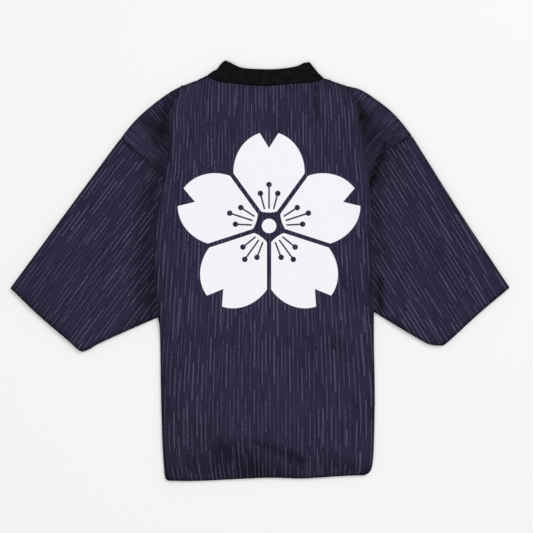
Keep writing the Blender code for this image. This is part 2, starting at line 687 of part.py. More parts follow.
def front_top_edge(half, inward, start, finish):
    """A front's upper edge, inside the turned-down shoulder, from the armhole seam to the collar."""
    inner = shifted(shoulder_line(half), inward * FRONT_INSET)
    return [start] + [point for point in inner[1:-1] if abs(point.x) > abs(finish.x)] + [finish]


def build_front(name, half, material):
    inward = -1 if half is LEFT else 1
    _, collar_outer = front_band_edges(half)
    outer_edge = front_outer_edge(half, inward)
    collar_gap = Vector((inward * BAND_GAP, 0.0))
    straight = collar_outer(0.0).to_2d()
    seam_edge = [Vector((straight.x, height_of_line(HEM, straight.x))), straight]
    seam_edge += [collar_outer(index / NECK_EDGE_STEPS).to_2d() for index in range(1, NECK_EDGE_STEPS)]
    seam_edge = [point + collar_gap for point in seam_edge]
    top_edge = front_top_edge(half, inward, outer_edge[-1], seam_edge[-1])
    hem_edge = [outer_edge[0]]
    for index in range(1, FRONT_COLUMNS):
        x = outer_edge[0].x + (seam_edge[0].x - outer_edge[0].x) * index / FRONT_COLUMNS
        hem_edge.append(Vector((x, height_of_line(HEM, x))))
    hem_edge.append(seam_edge[0])
    climb = [0.0]
    for before, after in zip(outer_edge, outer_edge[1:]):
        climb.append(climb[-1] + (after - before).length)
    rows = []
    for place, run in zip(outer_edge, climb):
        rise = run / climb[-1]
        seam_place = along(seam_edge, rise)
        row = []
        for index in range(FRONT_COLUMNS + 1):
            u = index / FRONT_COLUMNS
            low, high = along(hem_edge, u), along(top_edge, u)
            spot = patch_point((hem_edge[0], low, hem_edge[-1]), (top_edge[0], high, top_edge[-1]),
                               place, seam_place, u, rise)
            row.append(spot.to_3d())
        rows.append(row if half is LEFT else list(reversed(row)))
    return finish_piece(name, grid_mesh(rows), material, WALL, 1.0)


def main():
    for item in list(bpy.data.objects):
        bpy.data.objects.remove(item, do_unlink=True)
    navy = cloth_material("navy slub cotton", NAVY, 0.92)
    black = cloth_material("black collar cotton", BLACK, 0.85)
    build_back_panel(navy)
    build_front("left_front", LEFT, navy)
    build_front("right_front", RIGHT, navy)
    build_sleeve("left_sleeve", LEFT, -1, navy)
    build_sleeve("right_sleeve", RIGHT, 1, navy)
    build_collar(black)


main()
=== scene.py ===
# %% [markdown]
# # A happi coat, laid flat with its back up
#
# A happi is a short, straight festival coat with wide sleeves and a long collar band. This one is
# sewn from lightly padded navy cotton with pale slub threads, and its collar is plain black cotton.
# It lies on a floor, back up, so its layers lie on each other: two fronts, then two sleeves, then
# the back, which folds down over the sleeves.
#
# The coat was first built as plain solids, one for each piece that a maker cuts and sews. This
# script loads those solids as a fixed frame, and dresses each one in a finer shell of cloth.

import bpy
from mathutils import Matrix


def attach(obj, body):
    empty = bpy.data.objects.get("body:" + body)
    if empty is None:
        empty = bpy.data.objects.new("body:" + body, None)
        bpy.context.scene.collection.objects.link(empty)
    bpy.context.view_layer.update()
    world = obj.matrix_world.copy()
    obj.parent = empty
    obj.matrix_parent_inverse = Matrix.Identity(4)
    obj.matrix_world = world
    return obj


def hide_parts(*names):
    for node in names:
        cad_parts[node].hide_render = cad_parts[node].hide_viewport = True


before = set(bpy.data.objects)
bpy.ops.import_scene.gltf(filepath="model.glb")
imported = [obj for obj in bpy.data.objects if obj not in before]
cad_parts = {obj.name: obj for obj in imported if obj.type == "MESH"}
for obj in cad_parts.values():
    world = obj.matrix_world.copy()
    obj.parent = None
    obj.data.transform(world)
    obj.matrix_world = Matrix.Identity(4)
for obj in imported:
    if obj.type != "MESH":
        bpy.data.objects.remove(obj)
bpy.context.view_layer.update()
print("solids:", ", ".join(sorted(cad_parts)))

# %% Tools for the rest of the lesson
import math
from collections import namedtuple
from functools import partialmethod

import bmesh
import bpy
import numpy as np
from mathutils import Vector

# %% [markdown]
# ## Sizes
#
# Every length is in metres. The solids are stiff walls, and the shells keep their forms and
# outlines but are thinner, because a finer mesh can carry a real cloth's thickness and soft edges.

# %% Sizes of the cloth and of the way it lies
CLOTH = 0.0022           # thickness of the lightly padded cotton
SEAM_GAP = 0.0003        # daylight between two pieces at a seam
NECK_GAP = 0.00045       # the same between the back's upper edge and the collar
BAND_GAP = 0.0006        # the same between a front and its collar band
CENTRE_X = 0.016         # middle line of the body
CENTRE_Y = 0.05          # height on it to which the turned shoulders curl in
BAND_WIDTH = 0.050       # collar band on the fronts
BAND_PARTING = 0.010     # daylight between the two front bands
BAND_THICK = 0.0045      # the doubled band
COLLAR_TOP = 0.0110      # upper side of the collar where it folds over
COLLAR_SAG = 0.0035      # how much lower it lies behind the neck
BACK_TOP = 0.0090        # height of the smooth back
BACK_EDGE = 0.0060       # height at which the back's upper edge ends under the collar
SIDE_ROLL = 0.0060       # radius of the rolled sides and shoulders
LIP_ROLL = 0.0040        # radius of the lip that folds over each sleeve
LIP_RISE = 0.0056        # how far that lip stands up
LIP_INSET = 0.012        # distance of its ridge from the edge
LIP_SPREAD = 0.022       # half width of that ridge
LIP_RIM = 0.0084         # lower rim of the lip, just over the sleeve
ARM_LOW = 0.0076         # upper side of a sleeve or cap beside the body
ARM_SWELL = 0.0034       # how much higher it is away from the body
ARM_LEVEL = 0.010        # distance from the body over which it stays low
ARM_SLOPE = 0.050        # and over which it then rises
SEAM_DIP = 0.35          # share of that swelling lost at the armhole seam
SEAM_DIP_WIDTH = 0.012
SEAM_GROOVE = 0.0011     # depth of the sewn groove itself
SEAM_GROOVE_WIDTH = 0.0022
FRONT_INSET = 0.0052     # distance of a front's edge from the outline
FRONT_THICK = 0.0028
CREST_FADE = 0.10        # the fold beside a cap dies out over this length below the shoulder
NECK_FADE = 0.020        # the rolled shoulder ends over this length beside the neck
MERGE = 0.00002          # points closer than this are welded

# %% [markdown]
# ## The outline
#
# A laid garment is never quite even, so each half has its own table of spots, read from the hem up.
# To keep their rows short, this table and the next ones are in millimetres.
# A smooth curve runs through the spots of each line. The lines are the ones that a maker would
# name: the side, the fold over the sleeve, the crest beside the shoulder, the armhole seam, the
# shoulder, the sleeve's edges and its cuff.

# %% Tables of the outline
Spot = namedtuple("Spot", "x y")
Bow = namedtuple("Bow", "share width out")   # how far the collar's fold bows out, from neck (0) to peak (1)
MILLIMETRE = 0.001


def table(kind, numbers, lengths):
    """Rows of a kind, cut from one run of numbers. Of each row the first few are lengths."""
    size = len(kind._fields)
    rows = (numbers[start:start + size] for start in range(0, len(numbers), size))
    return tuple(kind(*(number * MILLIMETRE for number in row[:lengths]), *row[lengths:]) for row in rows)


def through(*numbers):
    """Spots of a line, from a run of x, y, x, y and so on."""
    return table(Spot, numbers, 2)


LEFT = {
    "sign": -1,
    "side": through(-194.5, -436.8, -198.8, -426.5, -203, -370, -206.2, -270, -208.2, -150, -209.5, -115,
                    -212.5, -99),
    "fold": through(-212.5, -99, -214, -70, -217.5, -20, -219.5, 30, -218, 75, -211, 120, -204.5, 165,
                    -198.3, 194),
    "crest": through(-198.3, 194, -192.5, 230, -187.9, 257.3, -186, 278.1, -187.5, 294.8, -189.6, 313.5,
                     -187.9, 330.2, -181.7, 345.8, -171.9, 363.5, -162.5, 384.5),
    "seam": through(-198.3, 194, -207, 205.2, -223, 219.5, -239.5, 232.6, -255.5, 245.4, -271.5, 258.1,
                    -286.8, 270.3, -291.5, 274),
    "shoulder": through(-291.5, 274, -266.7, 305.2, -241.7, 330.2, -208.3, 357.5, -179.8, 376.6,
                        -162.5, 384.5),
    "sleeve_top": through(-520, -36.5, -406.5, 117.7, -291.5, 274),
    "cuff": through(-520, -36.5, -459.5, -94.8, -401, -144.8, -380, -164, -370, -169.7),
    "sleeve_under": through(-370, -169.7, -354.2, -163.5, -337.5, -153.3, -287.5, -130.2, -220.8, -101.2,
                            -191, -89),
    "tuck": through(-202.1, 193.3, -197.5, 178.5, -184, 160, -181, 140, -181.5, 95, -185, 45, -188.5, -10,
                    -190.5, -55, -191, -89),
    "neck_point": Spot(-0.1106, 0.4059),
    "peak": Spot(-0.0702, 0.4385),
    "fold_bows": (Bow(share=0.47, width=0.12, out=-0.0023), Bow(share=0.83, width=0.12, out=0.0018)),
    "cap_fan": Spot(0.0981, -0.0851),    # point from which the cloth's pale threads fan out on the cap
    "sleeve_warp": math.radians(-126.5),  # and their direction along the sleeve
}
RIGHT = {
    "sign": 1,
    "side": through(219, -426.8, 228.5, -420.8, 234.5, -405, 237.5, -360, 239.4, -260, 237.8, -160,
                    237, -86.5),
    "fold": through(237, -86.5, 234.5, -45, 232.5, 10, 231.2, 70, 230, 120, 229, 168),
    "crest": through(229, 168, 224, 210, 218, 245, 209.5, 285, 205.5, 315, 199, 342, 188, 365, 179.2, 385),
    "seam": through(229, 168, 236.5, 188, 241.2, 204, 245.8, 219.8, 262, 253, 288, 265.4, 312.4, 276.3,
                    317.3, 279.6),
    "shoulder": through(317.3, 279.6, 297.9, 305.2, 275, 330.2, 243.8, 355.2, 210, 376.8, 179.2, 385),
    "sleeve_top": through(519.8, -35.4, 418.8, 117.7, 347.9, 230.2, 317.3, 279.6),
    "cuff": through(519.8, -35.4, 450, -94.8, 395.8, -144.8, 380, -157),
    "sleeve_under": through(380, -157, 358.3, -155.2, 341.7, -149, 291.7, -119.8, 240, -88, 215, -72.5),
    "tuck": through(233, 168, 231, 156, 222, 140, 217, 115, 216, 75, 215.4, 30, 215, -20, 215, -72.5),
    "neck_point": Spot(0.1340, 0.4001),
    "peak": Spot(0.1004, 0.4358),
    "fold_bows": (Bow(share=0.34, width=0.20, out=-0.0012), Bow(share=0.84, width=0.12, out=0.0008)),
    "cap_fan": Spot(-0.4939, -0.5445),
    "sleeve_warp": math.radians(-58.5),
}
HALVES = (LEFT, RIGHT)
HEM = through(-194.5, -436.8, -180, -438.3, -114.6, -438.1, 10.4, -432, 89.6, -433.3, 177.1, -428.1,
              219, -426.8)
NECK_SEAM = through(-111.5, 406, -98.5, 397.5, -93, 394.8, -88, 393, -80, 391.2, -70, 389.9, -45.8, 387.6,
                    5.2, 383.2, 41.7, 385.8, 76.4, 388.5, 110, 391.7, 119, 393, 125.5, 395.4, 134.5, 399.8)
LEFT_OF_NECK = through(-162.5, 384.5, -145.8, 391.1, -129, 397.2, -119, 401.5)
RIGHT_OF_NECK = through(142, 397.7, 150, 395, 164.6, 389.8, 179.2, 385)
TOP_LINE = LEFT_OF_NECK + NECK_SEAM + RIGHT_OF_NECK
COLLAR_EDGE = through(-62.5, 433.6, -50, 426.8, -33.3, 421.6, 8, 419.6, 41.7, 420.4, 75, 425.2, 91.5, 432.4)
print("outline tables:", ", ".join(name for name in LEFT if name not in ("sign", "cap_fan", "sleeve_warp")))

# %% [markdown]
# ## Curves on the floor
#
# All shapes start as curves on the floor. A Catmull-Rom curve passes through every spot of its
# table, which makes it easy to place a line by eye. The points are then spread evenly, so that a
# share of the curve, such as 0.5, is also a share of its length. Whole grids of places are worked
# out at once with numpy arrays, because a Python loop over tens of thousands of places is slow.

# %% Curves through the spots
CURVE_STEPS = 24
EDGE_POINTS = 90
TINY = 1e-12


def runs(path):
    """Length of a path up to each of its points."""
    return np.concatenate(([0.0], np.cumsum(np.linalg.norm(np.diff(path, axis=0), axis=1))))


def along(path, shares):
    """Places at shares of a path's length."""
    run = runs(path)
    stations = np.asarray(shares) * run[-1]
    return np.stack([np.interp(stations, run, path[:, axis]) for axis in range(path.shape[1])], axis=-1)


def smooth_path(spots, count=EDGE_POINTS):
    """Even steps on the smooth curve through the spots."""
    knots = np.array(spots, float)
    knots = np.vstack((2 * knots[0] - knots[1], knots, 2 * knots[-1] - knots[-2]))
    t = np.linspace(0, 1, CURVE_STEPS, endpoint=False)[:, None]
    spans = []
    for p0, p1, p2, p3 in zip(knots, knots[1:], knots[2:], knots[3:]):
        spans.append(0.5 * (2 * p1 + (p2 - p0) * t + (2 * p0 - 5 * p1 + 4 * p2 - p3) * t ** 2
                            + (3 * p1 - p0 - 3 * p2 + p3) * t ** 3))
    fine = np.vstack(spans + [knots[-2:-1]])
    return along(fine, np.linspace(0, 1, count + 1))


def near(path, places):
    """Distance from each place to a path, and how far along the path the nearest point is."""
    best = np.full(places.shape[:-1], np.inf)
    station = np.zeros(places.shape[:-1])
    for start, end, begun in zip(path, path[1:], runs(path)):
        step = end - start
        length = max(float(np.hypot(*step)), TINY)
        share = np.clip(((places - start) @ step) / length ** 2, 0, 1)
        gap = np.linalg.norm(places - start - share[..., None] * step, axis=-1)
        station = np.where(gap < best, begun + share * length, station)
        best = np.minimum(gap, best)
    return best, station


def shifted(path, distance):
    """A path moved sideways to its left by a distance."""
    run = np.gradient(path, axis=0)
    run /= np.maximum(np.linalg.norm(run, axis=1, keepdims=True), TINY)
    return path + np.stack((-run[:, 1], run[:, 0]), axis=1) * distance


def line_y(spots, x):
    """The y at x of a line that runs from left to right."""
    xs, ys = np.array(spots).T
    return np.interp(x, xs, ys)


def ease(value):
    value = np.clip(value, 0.0, 1.0)
    return value * value * (3 - 2 * value)


def bell(distance, width):
    return np.exp(-(distance / width) ** 2)


def rolled(distance, radius):
    """How far a rolled edge has dropped at a distance in from the outline."""
    reach = np.clip(radius - distance, 0.0, None)
    return np.where(distance < radius, radius - np.sqrt(np.maximum(radius ** 2 - reach ** 2, 0)), 0.0)


def coarse(half, *names):
    """Some curves of a half with every fifth point, fine enough to measure distances from."""
    return [half["curves"][name][::5] for name in names]


SMOOTH_LINES = ("side", "fold", "crest", "shoulder", "sleeve_top", "cuff", "sleeve_under")
for half in HALVES:
    half["curves"] = {name: smooth_path(half[name]) for name in SMOOTH_LINES}
    half["curves"]["seam"] = np.array(half["seam"], float)
    lengths = {name: round(float(runs(path)[-1]), 3) for name, path in half["curves"].items()}
    print("half", half["sign"], lengths)

# %% [markdown]
# ## How the cloth lies
#
# Soft cloth that is laid out by hand keeps long, low troughs and ridges. A simulation would find
# its own, so these are placed where this coat has them. Each is a line on the floor with
# a width and a height, and its profile is a bell curve. A slow ripple from a few sines is added,
# because nothing made of cloth is as flat as a board.
#
# A second kind of table paints shade softly into the cloth's colour, in the deep tucks and hollows
# where little light comes in. The light of the scene makes part of that shade, and these tables
# paint the rest into the material.

# %% Troughs, ridges and shade
Fold = namedtuple("Fold", "x0 y0 x1 y1 width height")
Shade = namedtuple("Shade", "x0 y0 x1 y1 start_width end_width depth")

BACK_FOLDS = table(Fold, (
    114.6, 384, 114.6, 320, 6, -1.6,
    130, 384, 132, 290, 14, 1.2,
    -70, -350, 90, -390, 30, 2.6,
    -90, 340, -100, 220, 30, 1.6,
    -120, -200, -130, -380, 35, 2.2,
    150, -100, 160, -360, 40, 2,
    0, 200, 20, -200, 60, 1.8,
    -105, -338, -10, -345, 13, 2.2,
    -85, -373, -15, -395, 14, -2.2,
    4, -363.5, 94, -390.6, 6, -1.8,
    5, -350, 96, -376, 9, 1.2,
    146, -156, 166, -167, 18, -1.4,
    -156, 350, -130, 290, 10, 0.8,
    185, 355, 180, 270, 12, 0.8,
    -160, -410, -175, -350, 10, 1,
    190, -405, 206, -350, 11, 1,
), 6)
LEFT_SLEEVE_FOLDS = table(Fold, (
    -230, -70, -300, 50, 16, -1.2,
    -250, -85, -340, 10, 14, 0.9,
    -330, 150, -430, 10, 22, 1,
    -360, -100, -410, -30, 14, -0.9,
    -440, -50, -470, -5, 16, 0.8,
), 6)
RIGHT_SLEEVE_FOLDS = table(Fold, (
    244, -45, 262, 30, 13, -1.4,
    270, -80, 330, 30, 16, 1,
    280, 190, 370, 50, 20, 1,
    370, -115, 410, -40, 14, -0.9,
    435, -50, 475, -10, 16, 0.8,
), 6)
# Painted shade: each row darkens the cloth along a line, between its start and end widths
BACK_SHADES = table(Shade, (
    115.5, 380, 115.8, 340, 4, 4.6, 0.66,
    115.8, 333, 116, 316, 6, 6.6, 0.36,
    -71, -374, -8.5, -415.5, 27, 23, 0.5,
    -8.5, -357.5, 62.5, -384.5, 8.5, 10.5, 0.5,
    66.5, -388.5, 94, -395, 12.5, 12.5, 0.45,
    -41.5, -415.5, 66.5, -424, 12.5, 12.5, 0.35,
    156, -155, 171, -165.5, 19, 19, 0.3,
    -141.5, -390.5, -58.5, -403, 16.5, 16.5, 0.2,
    146, -395, 179, -407.5, 19, 16.5, 0.22,
    -190, -425, 215, -417, 28, 24, 0.2,
    -95, 385, 130, 385, 11, 11, 0.15,
    -150, 375, -50, 365, 16, 16, 0.12,
    140, 380, 190, 360, 13, 13, 0.22,
    -186, -10, -178, -410, 23, 27, 0.15,
    -150, -290, -100, -400, 30, 30, 0.1,
    -213, 5, -208, -110, 11, 15, 0.3,
    231, 70, 233.5, -95, 11, 14, 0.34,
    -188, 310, -190, 230, 6, 6, 0.3,
    -140, -419, 20, -419, 12, 15, 0.18,
    -35, -370, 0, -395, 22, 22, 0.26,
    -160, -320, -25, -320, 24, 24, 0.13,
    125, -330, 125, -370, 9, 9, 0.28,
    -190, -395, 215, -390, 40, 40, 0.1,
), 6)
LEFT["shades"] = table(Shade, (
    -170, 376, -183.5, 349, 9.5, 12.5, 0.62,
    -196, 332.5, -202, 290.5, 16.5, 21, 0.76,
    -227, 313.5, -212.5, 272, 16.5, 16.5, 0.56,
    -191.5, 272, -208.5, 215.5, 14.5, 16.5, 0.5,
    -248, 330, -231, 305, 12.5, 12.5, 0.28,
    -283.5, 270, -202, 195, 5.5, 7.5, 0.35,
    -214.5, 213.5, -219, 155, 19, 16.5, 0.38,
    -242.5, 155, -244, -65.5, 14.5, 14.5, 0.4,
    -223, 167.5, -225, -70, 16.5, 16.5, 0.44,
    -224, 10, -223, -96, 12, 13, 0.42,
    -290, -115, -220, -85, 10, 15, 0.3,
    -254, 70, -254, -120, 13, 13, 0.2,
    -458, -82, -420, -115, 15, 15, 0.16,
    -410, -20, -270, 160, 110, 110, 0.12,
), 6)
RIGHT["shades"] = table(Shade, (
    191.5, 367.5, 202, 347, 7.5, 8.5, 0.5,
    205, 349, 214.5, 317.5, 7.5, 10.5, 0.86,
    219, 319, 216.5, 286, 10, 7, 0.86,
    228, 315, 233, 270, 14, 14, 0.2,
    229, 326, 246, 280, 19, 19, 0.32,
    219, 272, 231, 217.5, 16.5, 16.5, 0.36,
    259.5, 265.5, 249, 234.5, 5, 7, 0.74,
    249, 234.5, 234.5, 190.5, 7.5, 8.5, 0.9,
    234.5, 190.5, 229, 165.5, 8.5, 4.5, 0.9,
    256, 226, 246, 172, 12.5, 12.5, 0.34,
    281, 240.5, 296, 215.5, 29, 29, 0.2,
    237.5, 155, 262.5, 17.5, 12.5, 14.5, 0.28,
    239.5, 147, 239.5, -61.5, 10.5, 12.5, 0.3,
    250, -20, 251, -80, 8.5, 8.5, 0.8,
    240, -90, 315, -125, 9, 11, 0.34,
    270, 230, 290, 170, 20, 20, 0.1,
    310.5, 278, 262.5, 249, 4.5, 5.5, 0.34,
    208.3, 350, 212, 313, 11, 11, 0.24,
    229, 313, 229.2, 230, 11, 11, 0.26,
    250, 270, 250, 190, 11, 11, 0.18,
    291.7, 310, 291.7, 250, 15, 15, 0.22,
    430, -30, 310, 160, 110, 110, 0.1,
), 6)
RIM_DEPTH, RIM_WIDTH = 0.76, 0.0048      # painted shade on the rim where the cloth rolls over
EDGE_DEPTH, EDGE_WIDTH = 0.26, 0.0095    # and the softer painted shade beside it
SEAM_DEPTH, SEAM_WIDTH = 0.42, 0.0026    # painted shade in the sewn groove of an armhole
LIP_DEPTH, LIP_WIDTH = 0.34, 0.0060      # painted shade on the turned lip beside a cap or sleeve


def fold_height(folds, places):
    """Sum of the soft folds of a table at each place."""
    total = np.zeros(places.shape[:-1])
    for fold in folds:
        gap, _ = near(np.array(((fold.x0, fold.y0), (fold.x1, fold.y1))), places)
        total += fold.height * bell(gap, fold.width)
    return total


def ripple(places, height=0.00035):
    """A slow, uneven ripple of the laid cloth."""
    x, y = places[..., 0], places[..., 1]
    return height * (np.sin(47 * x + 11 * y + 1.3) + np.sin(83 * y - 29 * x + 0.4)
                     + 0.6 * np.sin(131 * x + 71 * y + 2.2))


def painted_tuck_shade(places, shades, rolled_edges, soft_edges=(), seams=(), lips=()):
    """How much shade is painted into the cloth at each place: 0 is lit cloth and 1 is the deepest tuck.

    To the painted shades of a table it adds painted shade on the rims of rolled edges, the softer
    shade beside some of them, in the sewn grooves, and on the lips."""
    light = np.ones(places.shape[:-1])
    for shade in shades:
        line = np.array(((shade.x0, shade.y0), (shade.x1, shade.y1)))
        gap, station = near(line, places)
        share = station / runs(line)[-1]
        width = shade.start_width + (shade.end_width - shade.start_width) * share
        light *= 1 - shade.depth * bell(gap, width)
    for paths, depth, width in ((rolled_edges, RIM_DEPTH, RIM_WIDTH), (soft_edges, EDGE_DEPTH, EDGE_WIDTH),
                                (seams, SEAM_DEPTH, SEAM_WIDTH), (lips, LIP_DEPTH, LIP_WIDTH)):
        for path in paths:
            light *= 1 - depth * bell(near(path, places)[0], width)
    return 1 - light


print("folds on the back and sleeves:", len(BACK_FOLDS), len(LEFT_SLEEVE_FOLDS), len(RIGHT_SLEEVE_FOLDS))

# %% [markdown]
# ## A grid that becomes cloth
#
# Every panel is laid as a grid: rows and columns of places that are worked out first, and then
# given to the vertices of a bmesh grid. Each grid also carries two things for the material: where
# each point lies in the woven cloth, in metres along and across its threads, and how much shade is
# painted at its tuck. The first is a UV map, so the pale threads turn, lean and roll with the cloth.
# Where two grids meet in one piece they are welded, and each keeps its own threads, as sewn cloth does.

# %% Lay a grid and give it a wall
SOFT_EDGE = 0.3          # width of the rounded edges of a wall, as a share of its thickness
SHARP_ANGLE = math.radians(55)


def with_settings(thing, **settings):
    """Set some properties of a thing, and hand it back."""
    for name, value in settings.items():
        setattr(thing, name, value)
    return thing


def new_cloth():
    bm = bmesh.new()
    bm.loops.layers.uv.new("cloth")
    # each point's painted shade, kept in a layer named tuck
    bm.verts.layers.float.new("tuck")
    return bm


def lay_grid(bm, points, cloth, tuck):
    """Add a grid of cloth: its points, their place in the woven cloth, and the shade painted at them."""
    rows, columns = points.shape[:2]
    made = bmesh.ops.create_grid(bm, x_segments=columns - 1, y_segments=rows - 1, size=1.0)
    order = sorted(made["verts"], key=lambda vert: (round(vert.co.y, 5), round(vert.co.x, 5)))
    painted_shade_layer = bm.verts.layers.float["tuck"]
    places, shades = points.reshape(-1, 3), np.broadcast_to(tuck, (rows, columns)).ravel()
    threads = cloth.reshape(-1, 2)
    for index, vert in enumerate(order):
        vert.co = places[index]
        vert[painted_shade_layer] = shades[index]
        vert.index = index
    uv_layer = bm.loops.layers.uv["cloth"]
    for face in {face for vert in order for face in vert.link_faces}:
        for loop in face.loops:
            loop[uv_layer].uv = threads[loop.vert.index]


def linked(name, data):
    """A new object in the scene."""
    made = bpy.data.objects.new(name, data)
    bpy.context.scene.collection.objects.link(made)
    return made


def mesh_object(name, bm, materials):
    mesh = bpy.data.meshes.new(name)
    bm.to_mesh(mesh)
    bm.free()
    for material in materials:
        mesh.materials.append(material)
    return linked(name, mesh)


def finish_cloth(name, bm, materials, thickness=0.0, offset=0.0, inner_slot=0):
    """Weld the grids into an object. A single layer gets a wall and softly rounded edges."""
    bmesh.ops.remove_doubles(bm, verts=bm.verts, dist=MERGE)
    bmesh.ops.dissolve_degenerate(bm, edges=bm.edges, dist=MERGE)
    crowded = [edge for edge in bm.edges if len(edge.link_faces) > 2]
    slivers = {min(edge.link_faces, key=lambda face: face.calc_area()) for edge in crowded}
    bmesh.ops.delete(bm, geom=list(slivers), context="FACES")
    piece = mesh_object(name, bm, materials)
    piece.data.shade_smooth()
    if thickness:
        with_settings(piece.modifiers.new("cloth wall", "SOLIDIFY"), thickness=thickness, offset=offset,
                      use_even_offset=False, use_quality_normals=True, material_offset=inner_slot)
        with_settings(piece.modifiers.new("soft edges", "BEVEL"), width=thickness * SOFT_EDGE, segments=2,
                      limit_method="ANGLE", angle_limit=SHARP_ANGLE)
    return piece


def patch(low, high, left, right, u, rise):
    """Places inside four edges. u is (rows, columns), and the edges are given for its rows and columns."""
    rise = rise[:, None, None]
    share = u[..., None]
    across = low * (1 - rise) + high * rise
    fix_left = (left - across[:, 0])[:, None]
    fix_right = (right - across[:, -1])[:, None]
    return across + fix_left * (1 - share) + fix_right * share


def even_patch(low_path, high_path, left, right, shares, rise):
    """Places inside four edges, at the same shares of every row."""
    shape = (len(rise), len(shares))
    low, high = (np.broadcast_to(along(path, shares), (*shape, 2)) for path in (low_path, high_path))
    return patch(low, high, left, right, np.broadcast_to(shares, shape), rise)


def arcs(points):
    """Length along each row of points up to each of its columns."""
    steps = np.linalg.norm(np.diff(points, axis=1), axis=2)
    return np.concatenate((np.zeros((len(points), 1)), np.cumsum(steps, axis=1)), axis=1)


def quarter_steps(count=6):
    """Distances in from an edge, in radii, that sample a quarter round evenly."""
    return 1 - np.cos(np.linspace(0, math.pi / 2, count + 1))


def filled(start, end, count):
    """Rows with close columns at both ends and a count of even ones between them."""
    steps = np.linspace(0, 1, count + 2)[1:-1]
    return np.hstack((start, start[:, -1:] + (end[:, :1] - start[:, -1:]) * steps, end))


# %% [markdown]
# ## Heights of an arm
#
# A sleeve and the cap above it lie low beside the body, where the back folds over them, and swell
# as they leave it. The armhole seam pulls them down in a narrow groove, and its stitches gather the
# cloth into small puckers that die out within a finger's width.

# %% Upper side of a sleeve or cap
PUCKER_PITCH = 0.0115
PUCKER_HEIGHT = 0.00035
PUCKER_REACH = 0.009
PUCKER_SWING, PUCKER_RATE = 1.7, 61      # how unevenly the puckers are spaced
PUCKER_START = 0.02      # distance from the body at which the puckers are at their full height
GROOVE_START = 0.012     # and the same for the sewn groove
GROOVE_LEAST = 0.3       # share of the groove that is left right beside the body


def arm_top(places, half, folds=(), body_lift=0.0):
    """Height of a sleeve or cap. body_lift is 1 where it is level with the back beside it."""
    curves = half["curves"]
    body_line = np.vstack((curves["fold"][:-1], curves["crest"]))[::5]
    body_gap, _ = near(body_line, places)
    seam_gap, station = near(curves["seam"], places)
    swell = ease((body_gap - ARM_LEVEL) / ARM_SLOPE)
    dip = 1 - SEAM_DIP * bell(seam_gap, SEAM_DIP_WIDTH)
    low = ARM_LOW + (BACK_TOP - ARM_LOW) * body_lift
    height = low + (ARM_LOW + ARM_SWELL - low) * swell * dip
    height = height + swell * (fold_height(folds, places) + ripple(places))
    wave = np.sin(2 * math.pi * station / PUCKER_PITCH + PUCKER_SWING * np.sin(station * PUCKER_RATE))
    pucker = PUCKER_HEIGHT * wave * bell(seam_gap, PUCKER_REACH) * ease(body_gap / PUCKER_START)
    deep = GROOVE_LEAST + (1 - GROOVE_LEAST) * ease(body_gap / GROOVE_START)
    return height + pucker - SEAM_GROOVE * bell(seam_gap, SEAM_GROOVE_WIDTH) * deep


def crest_fade(places, half):
    """1 where the fold beside a cap is deep, and 0 at the shoulder, where it ends."""
    end = np.array(half["crest"][-1])
    return ease(np.linalg.norm(places - end, axis=-1) / CREST_FADE)


def neck_fade(places):
    """0 at the neck, growing to 1 along each shoulder."""
    x = places[..., 0]
    return ease(np.maximum(NECK_SEAM[0].x - x, x - NECK_SEAM[-1].x) / NECK_FADE)


def shoulder_outline(half):
    """The outline from the armhole seam over the shoulder to the neck."""
    onward = LEFT_OF_NECK + NECK_SEAM[:1] if half is LEFT else (NECK_SEAM[-1:] + RIGHT_OF_NECK)[::-1]
    return np.vstack((smooth_path(half["shoulder"])[:-1], onward))


for half in HALVES:
    half["outline"] = shoulder_outline(half)


def shoulder_near_neck(half):
    """The outline from a crest to the neck."""
    outline = half["outline"]
    return outline[np.abs(outline[:, 0]) <= abs(half["crest"][-1].x) + MERGE]


def shoulder_roll(places):
    """How far the cloth has dropped where it rolls over a shoulder, which stops at the neck."""
    gap = np.minimum(*(near(half["outline"][::4], places)[0] for half in HALVES))
    return neck_fade(places) * rolled(gap, SIDE_ROLL)


# %% [markdown]
# ## The back and its shoulder caps
#
# The back is one panel of cloth from the hem to the neck. Laid out, it is wider than the body's
# outline: beside each sleeve it folds over as a soft lip, and above the sleeve it doubles back and
# runs on as a cap over the shoulder, to the armhole seam. So it is laid as three grids that are
# welded along the two crests. Its sides, shoulders and hem turn down to the floor through a quarter
# round, because padded cloth never folds to a sharp edge.
#
# The rows of the big grid run from the left edge to the right one. Each row starts and ends with
# close columns for the rolled edges, and has even ones between them.

# %% Rows along the edge of the back
HEM_ROLL = 0.0026
HEM_FOOT = 0.0036        # the hem's lower edge, just over the fronts
BAND_STEP = 0.0015       # how much higher it stays over the two front bands
HEM_DROP = 0.0010
CORNER_LOW = 0.0012      # lowest height of the rolled cloth, at a corner of the hem
HEM_FADE = 0.02
CLOSE_STEPS = np.array((0.0, 0.0004, 0.0010, 0.0018, 0.0027, 0.0040))     # in metres from an end
SKIRT = np.array((0.12, 0.30, 0.55, 0.80, 1.0))   # shares of the way down a turned edge
HOOK = 0.0024            # how far the foot of a turned edge curls in
SIDE_ROWS, FOLD_ROWS, CREST_ROWS = 58, 60, 60
SIDE_START = 0.012       # share of the side at which its even rows begin
LAST_ROWS = 3            # even rows of the crest whose place its close steps take
BACK_COLUMNS = 104
CAP_COLUMNS = 26
RIM_RISE = 0.012         # length over which the turned edge lifts off the floor at the armpit
RIDGE_RISE = 0.060       # length over which the lip's ridge grows below the armpit
SEAM_SHARE = 7 / 12      # share of a cap's rows that end on the armhole seam


